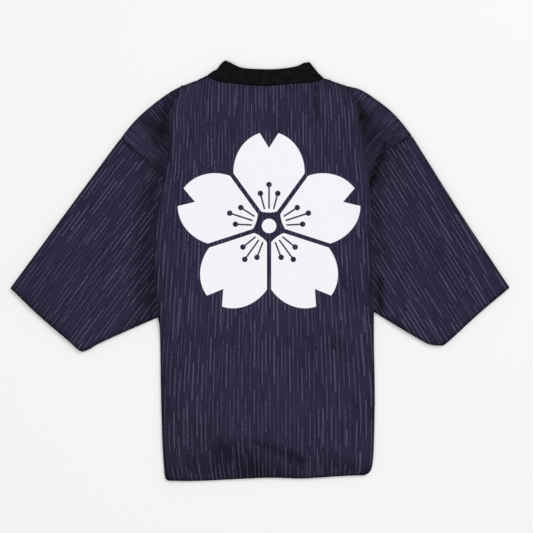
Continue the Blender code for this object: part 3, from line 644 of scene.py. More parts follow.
def back_edge(half):
    """For each row of the back: the place of its edge, and how the edge is turned there."""
    curves = half["curves"]
    side_length, crest_length = (runs(curves[name])[-1] for name in ("side", "crest"))
    side_shares = np.concatenate((CLOSE_STEPS / side_length, np.linspace(SIDE_START, 1, SIDE_ROWS)))
    crest_shares = np.concatenate((np.linspace(0, 1, CREST_ROWS)[:-LAST_ROWS],
                                   1 - CLOSE_STEPS[::-1] / crest_length))
    fold_shares = np.linspace(0, 1, FOLD_ROWS)
    place = np.vstack((along(curves["side"], side_shares), along(curves["fold"], fold_shares)[1:],
                       along(curves["crest"], crest_shares)[1:]))
    before_armpit = side_length * (1 - side_shares)
    sides, folds, crests = len(side_shares), FOLD_ROWS - 1, len(crest_shares) - 1
    lifted = np.concatenate((1 - ease(before_armpit / RIM_RISE), np.ones(folds + crests)))
    ridge = np.concatenate((1 - ease(before_armpit / RIDGE_RISE), np.ones(folds + crests)))
    on_crest = np.concatenate((np.zeros(sides + folds), np.ones(crests)))
    strength = np.where(on_crest > 0, crest_fade(place, half), 1.0)
    radius = SIDE_ROLL + (LIP_ROLL - SIDE_ROLL) * lifted[:, None]
    return {"place": place, "lifted": lifted, "ridge": ridge, "on_crest": on_crest, "strength": strength,
            "radius": radius, "crest_shares": crest_shares}


left, right = back_edge(LEFT), back_edge(RIGHT)
print("rows of the back:", len(left["place"]))

# %% The big grid of the back
HEM_PATH = smooth_path(HEM)
MARGIN_STEPS = np.array((0.0018, 0.0040, 0.0070, 0.0105, 0.0150, 0.0200))
EDGE_LEAN = 0.6          # how far the threads beside a fold lean with it
EDGE_LEAN_WIDTH = 0.055
FAN = 0.10               # how far the threads spread from the shoulders down to the hem
HEM_PULL = 0.95          # how hard the threads are pulled aside at the left end of the hem
HEM_PULL_FROM = -0.345   # y below which they are pulled
PULL_START, PULL_WIDTH = -0.06, 0.09     # x where that pull begins, and the width over which it does
FAN_START, FAN_LENGTH = -0.32, 0.44      # y down to which they spread, and the length over which they do
LEAN_LOSS = 0.5          # how much of that lean is lost near the shoulders
LEAN_FADE_START, LEAN_FADE = 0.16, 0.08  # y above which they lean less, and the length over which they do


def close_columns(radius):
    """Distances in from the edge of each row's close columns."""
    return np.hstack((radius * quarter_steps(), radius + MARGIN_STEPS))


def back_places(left, right):
    width = np.linalg.norm(right["place"] - left["place"], axis=1)[:, None]
    start, end = close_columns(left["radius"]), close_columns(right["radius"])
    u = filled(start / width, 1 - end[:, ::-1] / width, BACK_COLUMNS)
    climb = runs(left["place"])
    x = TOP_LINE[0].x + (TOP_LINE[-1].x - TOP_LINE[0].x) * u
    high = np.stack((x, line_y(TOP_LINE, x)), axis=-1)
    return patch(along(HEM_PATH, u), high, left["place"], right["place"], u, climb / climb[-1])


def back_heights(places, edges):
    hem_gap, _ = near(HEM_PATH[::3], places)
    height = BACK_TOP - HEM_DROP * bell(hem_gap, HEM_FADE) + fold_height(BACK_FOLDS, places) + ripple(places)
    for edge in edges:
        gap = np.linalg.norm(places - edge["place"][:, None], axis=2)
        strength = edge["strength"][:, None]
        height += edge["ridge"][:, None] * strength * LIP_RISE * bell(gap - LIP_INSET, LIP_SPREAD)
        height -= strength * rolled(gap, edge["radius"])
    return np.maximum(height - shoulder_roll(places) - rolled(hem_gap, HEM_ROLL), CORNER_LOW)


def turned(points, rims, inward, hook):
    """Points of an edge turned down in steps to its rims, where it curls in."""
    down = SKIRT[:, None]
    turned_points = np.repeat(points[None], len(SKIRT), axis=0)
    turned_points[..., 2] += (rims - points[:, 2]) * down
    turned_points[..., :2] += inward * (hook * down ** 3)[..., None]
    return turned_points


back_flat = back_places(left, right)
back_core = np.dstack((back_flat, back_heights(back_flat, (left, right))))
print("big grid:", back_core.shape[:2], "highest point", round(float(back_core[..., 2].max()), 4))

# %% Caps of the shoulders
def cap_places(half, shares):
    """Places of a cap, from shares of the crest out to the armhole seam and the shoulder."""
    curves = half["curves"]
    crest = along(curves["crest"], shares)
    on_seam = along(curves["seam"], np.clip(shares / SEAM_SHARE, 0, 1))
    on_shoulder = along(curves["shoulder"], np.clip((shares - SEAM_SHARE) / (1 - SEAM_SHARE), 0, 1))
    outer = np.where(shares[:, None] < SEAM_SHARE, on_seam, on_shoulder)
    length = np.linalg.norm(outer - crest, axis=1)[:, None]
    fit = np.minimum(1, length / (4 * SIDE_ROLL))
    reach = filled(CLOSE_STEPS * fit, length - SIDE_ROLL * quarter_steps()[::-1] * fit, CAP_COLUMNS)
    share = reach / np.maximum(length, TINY)
    return crest[:, None] + (outer - crest)[:, None] * share[..., None]


def cap_core(half, edge):
    """A cap before its outer edge is turned down."""
    places = cap_places(half, edge["crest_shares"])
    height = arm_top(places, half, (), 1 - crest_fade(places, half)) - shoulder_roll(places)
    return np.dstack((places, height))


def toward_middle(places):
    """Unit vectors that point in from the shoulders to the middle of the body."""
    vector = np.array((CENTRE_X, CENTRE_Y)) - places
    return vector / np.linalg.norm(vector, axis=-1, keepdims=True)


left_cap, right_cap = cap_core(LEFT, left), cap_core(RIGHT, right)
print("cap grids:", left_cap.shape[:2], right_cap.shape[:2])

# %% Turn the edges of the back down, and weld its three grids
LIP_CURL = 0.5           # how much less the foot of the lip curls in
CORNER = 0.012           # the curl of a turned edge fades out this near a corner
FOOT_FADE = 0.05         # share of a crest over which the foot of a cap changes from seam to shoulder
SEAM_FOOT = 0.0034       # height, just over the fronts, to which the cloth turns down in an armhole seam


def side_skirt(edge, core_column, cap, sign):
    """The turned-down long edge: to the floor, to the sleeve, or to the cap that runs on from it."""
    rims = LIP_RIM * edge["lifted"]
    crest_rows = int(edge["on_crest"].sum())
    rims[-crest_rows - 1:] = np.where(np.arange(crest_rows + 1) == 0, LIP_RIM, cap[:, 0, 2])
    rims = np.minimum(rims, core_column[:, 2])
    from_hem = runs(edge["place"])
    hook = HOOK * (1 - LIP_CURL * edge["lifted"]) * ease(from_hem / CORNER) * (1 - edge["on_crest"])
    hook[-crest_rows - 1:] = 0
    return turned(core_column, rims, np.array((-sign, 0.0)), hook)


def back_grid():
    left_skirt = side_skirt(left, back_core[:, 0], left_cap, -1).swapaxes(0, 1)[:, ::-1]
    right_skirt = side_skirt(right, back_core[:, -1], right_cap, 1).swapaxes(0, 1)
    middle = np.hstack((left_skirt, back_core, right_skirt))
    skirts = len(SKIRT)
    hem_line, top_line = middle[0], middle[-1]
    from_corner = np.minimum(hem_line[:, 0] - hem_line[skirts, 0], hem_line[-skirts - 1, 0] - hem_line[:, 0])
    beside_bands = np.abs(hem_line[:, 0] - CENTRE_X) - BAND_PARTING / 2 - BAND_WIDTH
    foot = (HEM_FOOT + BAND_STEP * ease(1 - beside_bands / CORNER)) * ease(from_corner / CORNER)
    hook = HOOK * ease(from_corner / CORNER)
    below = turned(hem_line, np.minimum(foot, hem_line[:, 2]), np.array((0.0, 1.0)), hook)[::-1]
    for column, corner in ((slice(0, skirts), skirts), (slice(-skirts, None), -skirts - 1)):
        top = hem_line[corner, 2]
        down = np.maximum(SKIRT[::-1][:, None], (top - hem_line[column, 2])[None] / top)
        below[:, column, :2] = hem_line[corner, :2]
        below[:, column, 2] = top * (1 - down)
    fade = neck_fade(top_line[:, :2])
    rims = np.minimum(BACK_EDGE * (1 - fade), top_line[:, 2])
    above = turned(top_line, rims, toward_middle(top_line[:, :2]), HOOK * fade)
    return np.vstack((below, middle, above))


def back_threads(points):
    """Across and along the woven cloth for each point of the big grid."""
    across = arcs(points)
    middle = points.shape[1] // 2
    u = across - across[:, middle:middle + 1] + points[:, middle:middle + 1, 0]
    climb = arcs(points.swapaxes(0, 1)[middle:middle + 1])[0]
    v = points[..., 1].copy()
    ends = len(SKIRT)
    v[:ends] = points[ends, :, 1] - (climb[ends] - climb[:ends])[:, None]
    v[-ends:] = points[-ends - 1, :, 1] + (climb[-ends:] - climb[-ends - 1])[:, None]
    for edge_column in (ends, -ends - 1):
        line = points[:, edge_column, :2]
        gap = np.linalg.norm(points[..., :2] - line[:, None], axis=2)
        drift = line[:, 0] - 0.5 * (line[:, 0].min() + line[:, 0].max())
        drift = drift * (1 - LEAN_LOSS * ease((line[:, 1] - LEAN_FADE_START) / LEAN_FADE))
        u = u - EDGE_LEAN * bell(gap, EDGE_LEAN_WIDTH) * drift[:, None]
    x, y = points[..., 0], points[..., 1]
    u = u + FAN * (x - CENTRE_X) * ease((y - FAN_START) / FAN_LENGTH)
    pulled = 1 - ease((x - PULL_START) / PULL_WIDTH)
    u = u - HEM_PULL * pulled * np.clip(HEM_PULL_FROM - y, 0, None) ** 2
    return np.dstack((u, v))


LEAST_REACH = 0.002      # a row shorter than this is hardly unrolled


def unrolled(points):
    """Places on the floor, with the rolled ends of each row laid out flat."""
    flat = points[..., :2]
    reach = np.linalg.norm(flat[:, -1] - flat[:, 0], axis=1, keepdims=True)
    way = (flat[:, -1] - flat[:, 0]) / np.maximum(reach, LEAST_REACH)
    rolled_up = arcs(points) - arcs(flat)
    return flat + way[:, None] * rolled_up[..., None]


def turned_threads(points, warp):
    """Across and along the cloth where its threads run at the angle warp."""
    thread = np.array((math.cos(warp), math.sin(warp)))
    across = np.array((-thread[1], thread[0]))
    laid = unrolled(points)
    return np.stack((laid @ across, laid @ thread), axis=-1)


def fanned_threads(points, centre):
    """Across and along the cloth where its threads fan out from a centre."""
    out = unrolled(points) - np.array(centre)
    reach = np.linalg.norm(out, axis=-1)
    return np.stack((np.arctan2(out[..., 1], out[..., 0]) * reach.mean(), reach), axis=-1)


# %% Build the back
CAP_GATHER = np.array((1.55, 1.25))      # a cap is gathered: its threads lie closer than in flat cloth
CAP_CLOTH, SLEEVE_CLOTH, FRONT_CLOTH = 3.0, 6.0, 9.0     # where in the woven cloth each panel was cut


def own_cloth(half, cut):
    """Shift of a panel's threads, so that no two panels show the same stretch of cloth."""
    return np.array((cut * half["sign"], 0.0))


def build_back(materials):
    bm = new_cloth()
    points = back_grid()
    sides = coarse(LEFT, "side") + coarse(RIGHT, "side") + [HEM_PATH[::5]]
    tops = [shoulder_near_neck(half) for half in HALVES]
    lips = coarse(LEFT, "fold", "crest") + coarse(RIGHT, "fold", "crest")
    tuck = painted_tuck_shade(points[..., :2], BACK_SHADES, sides + tops, sides, lips=lips)
    lay_grid(bm, points, back_threads(points), tuck)
    for half, core, edge in ((LEFT, left_cap, left), (RIGHT, right_cap, right)):
        edge_row = core[:, -1]
        on_shoulder = ease((edge["crest_shares"] - SEAM_SHARE) / FOOT_FADE)
        wide = ease(np.linalg.norm(edge_row - core[:, 0], axis=1) / CORNER)
        rims = edge_row[:, 2] * (1 - wide) + SEAM_FOOT * wide * (1 - on_shoulder)
        skirt = turned(edge_row, rims, toward_middle(edge_row[:, :2]), HOOK * on_shoulder).swapaxes(0, 1)
        cap = np.hstack((core, skirt))
        threads = fanned_threads(cap, half["cap_fan"]) * CAP_GATHER + own_cloth(half, CAP_CLOTH)
        tuck = painted_tuck_shade(cap[..., :2], half["shades"], coarse(half, "shoulder"),
                          seams=[half["curves"]["seam"]])
        if half is LEFT:
            cap, threads, tuck = cap[:, ::-1], threads[:, ::-1], tuck[:, ::-1]
        lay_grid(bm, cap, threads, tuck)
    piece = finish_cloth("back_cloth", bm, materials, CLOTH, offset=-1.0, inner_slot=1)
    piece.modifiers.new("closed corners", "WELD").merge_threshold = MERGE / 2
    return piece


# %% [markdown]
# ## The sleeves
#
# A sleeve is a wide tube that has been pressed flat: an upper and a lower layer with a soft round
# between them at the top edge and along the underarm. It is laid as those two layers. Both start at
# the top edge, where the cloth runs on round the arm, and they meet again in the underarm seam,
# where its threads don't match. The cuff is turned in, so its edge is rounded, and the inner end
# follows the armhole seam and then lies out of sight under the lip of the back.

# %% Lay the two layers of a sleeve
SLEEVE_ROWS = 84
SLEEVE_COLUMNS = 70
SLEEVE_EDGE = 0.0045     # radius for which the close columns at a sleeve's edges are spaced
SLEEVE_MARGIN = np.array((0.0020, 0.0045, 0.0075))
CUFF_DROP = 0.0010
CUFF_FADE = 0.040
CUFF_ROLL = 0.0024
CUFF_CLOSE = 0.5         # how far the rolled cuff closes, as a share of that radius
UNDER_SHADE = 0.3        # share of the upper layer's painted shade that the lower one has


def sleeve_end(half):
    """The inner end of a sleeve: the armhole seam from the shoulder down, then inside the tuck."""
    return np.array(half["seam"][:0:-1] + half["tuck"], float)


def sleeve_shares(path):
    """Even shares of a path with its corners and close steps at both ends."""
    length = runs(path)[-1]
    margin = np.concatenate((SLEEVE_EDGE * quarter_steps(), SLEEVE_EDGE + SLEEVE_MARGIN)) / length
    even = np.linspace(margin[-1], 1 - margin[-1], SLEEVE_COLUMNS)[1:-1]
    corners = [share for share in runs(path) / length if margin[-1] < share < 1 - margin[-1]]
    closest = [int(np.argmin(np.abs(even - corner))) for corner in corners]
    even[closest] = corners
    return np.concatenate((margin, np.sort(even), 1 - margin[::-1]))


def sleeve_places(half):
    curves = half["curves"]
    end = shifted_end(half)
    close = CLOSE_STEPS / runs(curves["sleeve_top"])[-1]
    last = 1 - np.delete(close, 1)[::-1]      # the shifted end needs more room than the first close step
    rise = np.concatenate((close, np.linspace(close[-1], 1 - close[-1], SLEEVE_ROWS)[1:-1], last))
    upper_edge, lower_edge = along(curves["sleeve_top"], rise), along(curves["sleeve_under"], rise)
    upper_edge[-1], lower_edge[-1] = end[0], end[-1]
    shares = sleeve_shares(end)
    return even_patch(curves["cuff"], end, upper_edge, lower_edge, shares, rise), shares


def shifted_end(half):
    end = sleeve_end(half)
    steps = np.diff(end, axis=0)
    steps = np.vstack((steps[:1], steps))
    steps /= np.linalg.norm(steps, axis=1, keepdims=True)
    return end + half["sign"] * SEAM_GAP * np.stack((-steps[:, 1], steps[:, 0]), axis=1)


def turned_end(upper, margin):
    """The upper layer with its inner end turned down into the seam, so that no light comes through."""
    end = upper[-1]
    foot = end[:, 2] + (SEAM_FOOT - end[:, 2]) * ease((margin[-1] - SLEEVE_EDGE) / CORNER)
    return np.vstack((upper, turned(end, foot, np.zeros(2), 0.0)))


def build_sleeve(name, half, folds, materials):
    places, shares = sleeve_places(half)
    cuff_gap, _ = near(half["curves"]["cuff"][::3], places)
    height = arm_top(places, half, folds) - CUFF_DROP * bell(cuff_gap, CUFF_FADE)
    height = np.where(np.abs(places[..., 0]) < abs(half["seam"][0].x), ARM_LOW, height)
    width = np.linalg.norm(places[:, -1] - places[:, 0], axis=1)[:, None]
    margin = np.minimum(shares, 1 - shares) * width
    radius = height / 2
    curve = np.sqrt(1 - np.clip(1 - margin / radius, 0, 1) ** 2)
    closing = CUFF_CLOSE * rolled(cuff_gap, CUFF_ROLL)
    upper = turned_end(np.dstack((places, radius + radius * curve - closing * curve)), margin)
    lower = np.dstack((places, radius - radius * curve + closing * curve))
    tuck = painted_tuck_shade(upper[..., :2], half["shades"], coarse(half, "sleeve_top", "cuff", "sleeve_under"),
                      coarse(half, "cuff", "sleeve_under"), [half["curves"]["seam"]])
    around = np.dstack((2 * places[:, :1] - places, lower[..., 2]))      # the lower layer, opened out
    bm = new_cloth()
    for layer, laid_out, shade in ((upper, upper, tuck), (lower, around, UNDER_SHADE * tuck[:len(lower)])):
        threads = turned_threads(laid_out, half["sleeve_warp"]) + own_cloth(half, SLEEVE_CLOTH)
        lay_grid(bm, layer, threads, shade)
    bmesh.ops.remove_doubles(bm, verts=bm.verts, dist=MERGE)
    bmesh.ops.recalc_face_normals(bm, faces=bm.faces)
    return finish_cloth(name, bm, materials, CLOTH, offset=-1.0)


# %% [markdown]
# ## The collar band
#
# The collar of a happi is one long doubled band. It runs up the edge of one front, folds over at
# the neck, lies behind the neck, and runs down the other front. It is laid as a closed section that
# is carried along the band: up the left front, round its fold, behind the neck from left to right,
# round the other fold and down the right front. Behind the neck the band is slightly fuller in its
# middle and has a few long soft wrinkles, because it is bent there more than its cloth likes.

# %% Lay the collar band
STRAIGHT_LINES = 46
SLOPE_LINES = 46
FOLD_LINES = 12
NECK_LINES = 96
SECTION_STEPS = 8
FACE_SHARES = np.linspace(0.06, 0.94, 23)
V_BOTTOM = 0.140         # y where the front bands turn from straight to sloping
NECK_CURVE = 1.4         # how the slope gathers towards the shoulder
HEM_END = -0.4322
BAND_CROWN = 0.0006
BAND_WRINKLE = 0.00028
BOW_FADE = 0.12          # share of the way behind the neck over which the fold's bow dies out
FOLD_TIGHT = 0.65        # how much sharper the band's sewn edge is pressed at its fold
BAND_EDGE_SHADE = 0.45   # painted shade on the band's rounded edges
BAND_EDGE_WIDTH = 0.08

EDGE_SHARES = np.zeros(SECTION_STEPS + 1)
BAND_SHARES = np.concatenate((EDGE_SHARES, FACE_SHARES, EDGE_SHARES + 1, FACE_SHARES[::-1]))

BandLine = namedtuple("BandLine", "inner outer depth crown bow side")
UP = np.array((0.0, 0.0, 1.0))


def raised(place, height=0.0):
    return np.array((place[0], place[1], height))


def band_line(half, inner, outer, height=0.0, depth=UP, crown=0.0, bow=0.0):
    """One cross line of the band, from its free edge to its sewn one."""
    return BandLine(raised(inner, height), raised(outer, height), depth, crown, bow, half)


def fold_ends(half, shift):
    """Both ends of the collar's fold over the shoulder, shift further out than its outermost line."""
    peak, neck = np.array(half["peak"]), np.array(half["neck_point"])
    run = (peak - neck) / np.linalg.norm(peak - neck)
    out = np.array((-run[1], run[0]))
    out = out if out[0] * neck[0] >= 0 else -out
    seam = NECK_SEAM if half is LEFT else NECK_SEAM[::-1]
    seam_way = np.array(seam[1]) - np.array(seam[0])
    lean = (seam_way @ run) / (seam_way @ -out)      # the lower end follows the neck seam
    return peak + out * shift, neck + out * shift - run * lean * shift, out


def front_band(half, share, outer):
    """A place on one edge of a front band, from the foot of its slope (0) up to the fold (1)."""
    straight_x = CENTRE_X + half["sign"] * (BAND_PARTING / 2 + (BAND_WIDTH if outer else 0.0))
    goal = fold_ends(half, -COLLAR_TOP / 2)[1 if outer else 0]
    return np.array((straight_x + (goal[0] - straight_x) * share ** NECK_CURVE,
                     V_BOTTOM + (goal[1] - V_BOTTOM) * share))


def front_lines(half):
    """Lines of the band up one front and round its fold over the shoulder."""
    lines = []
    for y in np.linspace(HEM_END, V_BOTTOM, STRAIGHT_LINES, endpoint=False):
        inner, outer = front_band(half, 0.0, False), front_band(half, 0.0, True)
        lines.append(band_line(half, (inner[0], y), (outer[0], y)))
    for share in np.linspace(0, 1, SLOPE_LINES):
        inner, outer = front_band(half, share, False), front_band(half, share, True)
        lines.append(band_line(half, inner, outer, bow=ease(1 - (1 - share) / BOW_FADE)))
    radius = COLLAR_TOP / 2
    for angle in np.linspace(0, math.pi, FOLD_LINES + 1)[1:]:
        peak, neck, out = fold_ends(half, -radius * (1 - math.sin(angle)))
        height = radius * (1 - math.cos(angle))
        depth = raised(-out * math.sin(angle), math.cos(angle))
        lines.append(band_line(half, peak, neck, height, depth, bow=1.0))
    return lines


def behind_neck():
    """Lines of the band from one fold to the other, where it lies upside down."""
    (left_peak, left_neck, _), (right_peak, right_neck, _) = (
        fold_ends(half, -COLLAR_TOP / 2) for half in HALVES)
    free = smooth_path([left_peak, *COLLAR_EDGE, right_peak])
    lines = []
    for share in np.linspace(0, 1, NECK_LINES + 2)[1:-1]:
        x = left_neck[0] + (right_neck[0] - left_neck[0]) * share
        height = COLLAR_TOP - COLLAR_SAG * math.sin(math.pi * share) ** 2
        sewn = (x, line_y(TOP_LINE, x) + NECK_GAP)
        crown, bow = math.sin(math.pi * share), ease(1 - min(share, 1 - share) / BOW_FADE)
        half = LEFT if share < 0.5 else RIGHT
        lines.append(band_line(half, along(free, share), sewn, height, -UP, crown, bow))
    return lines


def bowed(line, share):
    """How far a point of the band is moved with the fold's bow. share is 0 at the free edge."""
    if not line.bow:
        return np.zeros(3)
    reach = sum(bow.out * bell(1 - share - bow.share, bow.width) for bow in line.side["fold_bows"])
    return raised(fold_ends(line.side, 0.0)[2] * reach * line.bow)


def band_rows(lines):
    """The closed section of the band at each line: free edge, one face, sewn edge, other face."""
    half_thick = BAND_THICK / 2
    angles = np.linspace(0, math.pi, SECTION_STEPS + 1)
    inset, depths = half_thick * (1 - np.sin(angles)), half_thick * (1 - np.cos(angles))
    rows = []
    for number, line in enumerate(lines):
        across = (line.outer - line.inner) / np.linalg.norm(line.outer - line.inner)
        wave = math.sin(number * 0.23) + 0.6 * math.sin(number * 0.41 + 1.0)     # uneven along the band
        row = [line.inner + across * shift + line.depth * depth
               for shift, depth in zip(inset[::-1], depths[::-1])]
        for share in FACE_SHARES:
            wrinkle = BAND_WRINKLE * wave * math.sin(9 * share + 0.05 * number)
            crown = BAND_CROWN * math.sin(math.pi * share) + wrinkle
            row.append(line.inner + (line.outer - line.inner) * share - line.depth * crown * line.crown)
        pressed = 1 - FOLD_TIGHT * line.bow
        row += [line.outer - across * shift * pressed + line.depth * depth
                for shift, depth in zip(inset, depths)]
        row += [line.inner + (line.outer - line.inner) * share + line.depth * BAND_THICK
                for share in FACE_SHARES[::-1]]
        row = [point + bowed(line, share) for point, share in zip(row, BAND_SHARES)]
        rows.append(row + [row[0]])
    return np.array(rows)


def build_collar(materials):
    lines = front_lines(LEFT) + behind_neck() + front_lines(RIGHT)[::-1]
    points = band_rows(lines)
    across = arcs(points)
    middle = np.array([0.5 * (line.inner + line.outer) for line in lines])
    length = runs(middle)
    threads = np.dstack((across, np.broadcast_to(length[:, None], across.shape)))
    bm = new_cloth()
    from_edge = np.minimum(BAND_SHARES, 1 - BAND_SHARES)
    # painted shade along both rounded edges of the band
    pressed = BAND_EDGE_SHADE * bell(np.append(from_edge, from_edge[0]), BAND_EDGE_WIDTH)
    lay_grid(bm, points, threads, np.broadcast_to(pressed, across.shape))
    bmesh.ops.remove_doubles(bm, verts=bm.verts, dist=MERGE)
    rims = [edge for edge in bm.edges if edge.is_boundary]
    bmesh.ops.holes_fill(bm, edges=rims, sides=0)
    bmesh.ops.recalc_face_normals(bm, faces=bm.faces)
    print("collar band is", round(float(length[-1]), 3), "m long")
    return finish_cloth("collar_band", bm, materials)


# %% [markdown]
# ## The fronts
#
# The two fronts lie on the floor under everything else, so they show only from below and along the
# open hem. Each is one grid between the side, the armhole, the shoulder and the collar band. Their
# undersides stay flat, because they rest.

# %% Lay the fronts
FRONT_ROWS = 120
FRONT_COLUMNS = 44
NECK_EDGE_STEPS = 24
NECK_EDGE_END = 0.95     # share of the band's slope at which the edge beside it ends


def front_edges(half):
    """Outer edge, upper edge, hem and neck edge of a front, each from its lower or outer end."""
    sign = half["sign"]
    side = shifted(half["curves"]["side"][::6], sign * FRONT_INSET)[:-1]
    end = sleeve_end(half)[::-1]
    notch = end[0] - np.array((0.0, FRONT_INSET))
    step = end[-2] - end[-1]
    last = end[-1] + step / np.linalg.norm(step) * FRONT_INSET
    outer = np.vstack((side[side[:, 1] < notch[1]], notch, end[:-2], last))
    band = [front_band(half, share, True) for share in np.linspace(0, NECK_EDGE_END, NECK_EDGE_STEPS)]
    neck = np.vstack(([band[0][0], line_y(HEM, band[0][0])], band)) + np.array((sign * BAND_GAP, 0.0))
    shoulder = shifted(half["outline"][::4], sign * FRONT_INSET)[1:-1]
    top = np.vstack((outer[-1:], shoulder[np.abs(shoulder[:, 0]) > abs(neck[-1, 0])], neck[-1:]))
    hem_x = np.linspace(outer[0, 0], neck[0, 0], FRONT_COLUMNS)
    hem = np.stack((hem_x, line_y(HEM, hem_x)), axis=1)
    hem[0] = outer[0]
    return outer, top, hem, neck


def build_front(name, half, materials):
    outer, top, hem, neck = front_edges(half)
    corners = runs(outer) / runs(outer)[-1]
    rise = np.unique(np.concatenate((np.linspace(0, 1, FRONT_ROWS), corners)))
    shares = np.linspace(0, 1, FRONT_COLUMNS)
    places = even_patch(hem, top, along(outer, rise), along(neck, rise), shares, rise)
    flat = np.zeros(places.shape[:2])
    points = np.dstack((places, flat))
    threads = places + own_cloth(half, FRONT_CLOTH)
    if half is RIGHT:
        points, threads = points[:, ::-1], threads[:, ::-1]
    bm = new_cloth()
    lay_grid(bm, points, threads, flat)
    return finish_cloth(name, bm, materials, FRONT_THICK, offset=1.0)


# %% [markdown]
# ## Node maths in plain sums
#
# The cloth's pattern is worked out inside its material, from the position in the woven cloth. A
# material's nodes do one sum each, so a pattern needs many of them. This small class lets Python
# write them: every + or * on a Wire adds one Math node to the material.

# %% Write node maths as sums
def add_node(tree, kind, inputs, **settings):
    """A node with its settings. Each input gets a number, a colour, a socket or a Wire to link to."""
    node = with_settings(tree.nodes.new("ShaderNode" + kind), **settings)
    for key, value in inputs.items():
        source = getattr(value, "socket", value)
        if isinstance(source, bpy.types.NodeSocket):
            tree.links.new(source, node.inputs[key])
        else:
            node.inputs[key].default_value = source
    return node


class Wire:
    """A number that flows between the nodes of one material."""

    def __init__(self, tree, socket):
        self.tree, self.socket = tree, socket

    def step(self, operation, *others):
        node = add_node(self.tree, "Math", dict(enumerate((self, *others))), operation=operation)
        return Wire(self.tree, node.outputs[0])

    __add__ = partialmethod(step, "ADD")
    __sub__ = partialmethod(step, "SUBTRACT")
    __mul__ = partialmethod(step, "MULTIPLY")
    __truediv__ = partialmethod(step, "DIVIDE")
    floor = partialmethod(step, "FLOOR")
    part = partialmethod(step, "FRACT")
    size = partialmethod(step, "ABSOLUTE")
    root = partialmethod(step, "SQRT")
    sine = partialmethod(step, "SINE")
    most = partialmethod(step, "MAXIMUM")

    def below(self, limit, weight=1.0):
        """How far this number, or its share given by weight, lies below a limit."""
        return self * -weight + limit

    def fade(self, low, high, start=0.0, end=1.0):
        """Change smoothly from start to end while this number goes from low to high."""
        ends = {"Value": self, "From Min": low, "From Max": high, "To Min": start, "To Max": end}
        node = add_node(self.tree, "MapRange", ends, interpolation_type="SMOOTHSTEP")
        return Wire(self.tree, node.outputs["Result"])


def join(tree, *parts):
    """A vector from up to three numbers."""
    return add_node(tree, "CombineXYZ", dict(enumerate(parts))).outputs[0]


def split(tree, socket):
    node = add_node(tree, "SeparateXYZ", {0: socket})
    return [Wire(tree, output) for output in node.outputs]


def dice(tree, x, y):
    """Three random numbers for each whole-number cell."""
    node = add_node(tree, "TexWhiteNoise", {"Vector": join(tree, x, y)}, noise_dimensions="2D")
    return split(tree, node.outputs["Color"])


def cloud(tree, u, v, u_scale, v_scale, detail=2.0):
    """Soft noise from 0 to 1. Its scales are in patches a metre, fewer along the way it is stretched."""
    vector = join(tree, u * u_scale, v * v_scale)
    inputs = {"Scale": 1.0, "Detail": detail, "Vector": vector}
    node = add_node(tree, "TexNoise", inputs, noise_dimensions="2D")
    return Wire(tree, node.outputs["Fac"])


def opaque(colour):
    """A colour of three numbers with full opacity. A socket that carries a colour stays as it is."""
    return (*colour, 1.0) if isinstance(colour, tuple) else colour


def mixed(tree, amount, first, second):
    """One colour fading to another."""
    node = add_node(tree, "Mix", {0: amount, 6: opaque(first), 7: opaque(second)}, data_type="RGBA")
    return node.outputs[2]


# %% [markdown]
# ## Navy cotton with pale slubs
#
# Slub yarn is spun thick and thin, and here its thick stretches are paler: short broken lines along
# the warp, four to ten centimetres long, two or three millimetres wide and some eight millimetres
# apart. To draw them, the cloth is cut into narrow lanes and each lane into stretches. White noise
# then throws dice for every stretch: whether it holds a slub, where in the lane it runs, how wide
# and pale it is, and where it begins and ends. A second, sparser layer hides the grid.
#
# Under them lies the ground of the cloth: navy that is a little lighter and darker from thread to
# thread. The weave itself is too fine for geometry, so it is a bump, and a slub stands up a little.

# %% Slubs
Lane = namedtuple("Lane", "pitch stretch chance width jitter seed")

SLUB_LANES = (
    Lane(pitch=0.00840, stretch=0.116, chance=0.98, width=0.245, jitter=0.22, seed=11),
    Lane(pitch=0.00840, stretch=0.070, chance=0.22, width=0.170, jitter=0.80, seed=71),
)
LANES_IN_REPEAT = 3      # every third lane keeps nearly in step with its neighbours
FLANK_DARK = 0.62        # painted shadow: how much darker the ground is right beside a raised slub
NAVY_DARK = (0.0124, 0.0106, 0.0300)
NAVY_LIGHT = (0.0352, 0.0312, 0.0690)
NAVY_SHADE = (0.0085, 0.0072, 0.0205)
SLUB_COLOUR = (0.0870, 0.0780, 0.1370)
# colour toward which the painted shade darkens the navy cloth
PAINTED_SHADE_COLOUR = (0.0016, 0.0015, 0.0028)
SLUB_SHORTEST, SLUB_LONGEST = 0.56, 0.82     # length of a slub, as a share of its stretch
SLUB_TAPER = 0.05        # share of the stretch over which each end dies out
SLUB_DULLEST, SLUB_PALEST = 0.34, 1.04       # strength of a slub's colour
SLUB_PAINTED_SHADE = 0.72       # how far the painted shade darkens a slub in the deepest tuck
WEAVE_PITCH = 0.0011
WEAVE_DEPTH = 0.00045    # how far the bump stands up
WEAVE_SHARE = 0.30       # the weave's own share of the bump
WARP_WANDER = 0.0012     # how far a warp thread wanders sideways


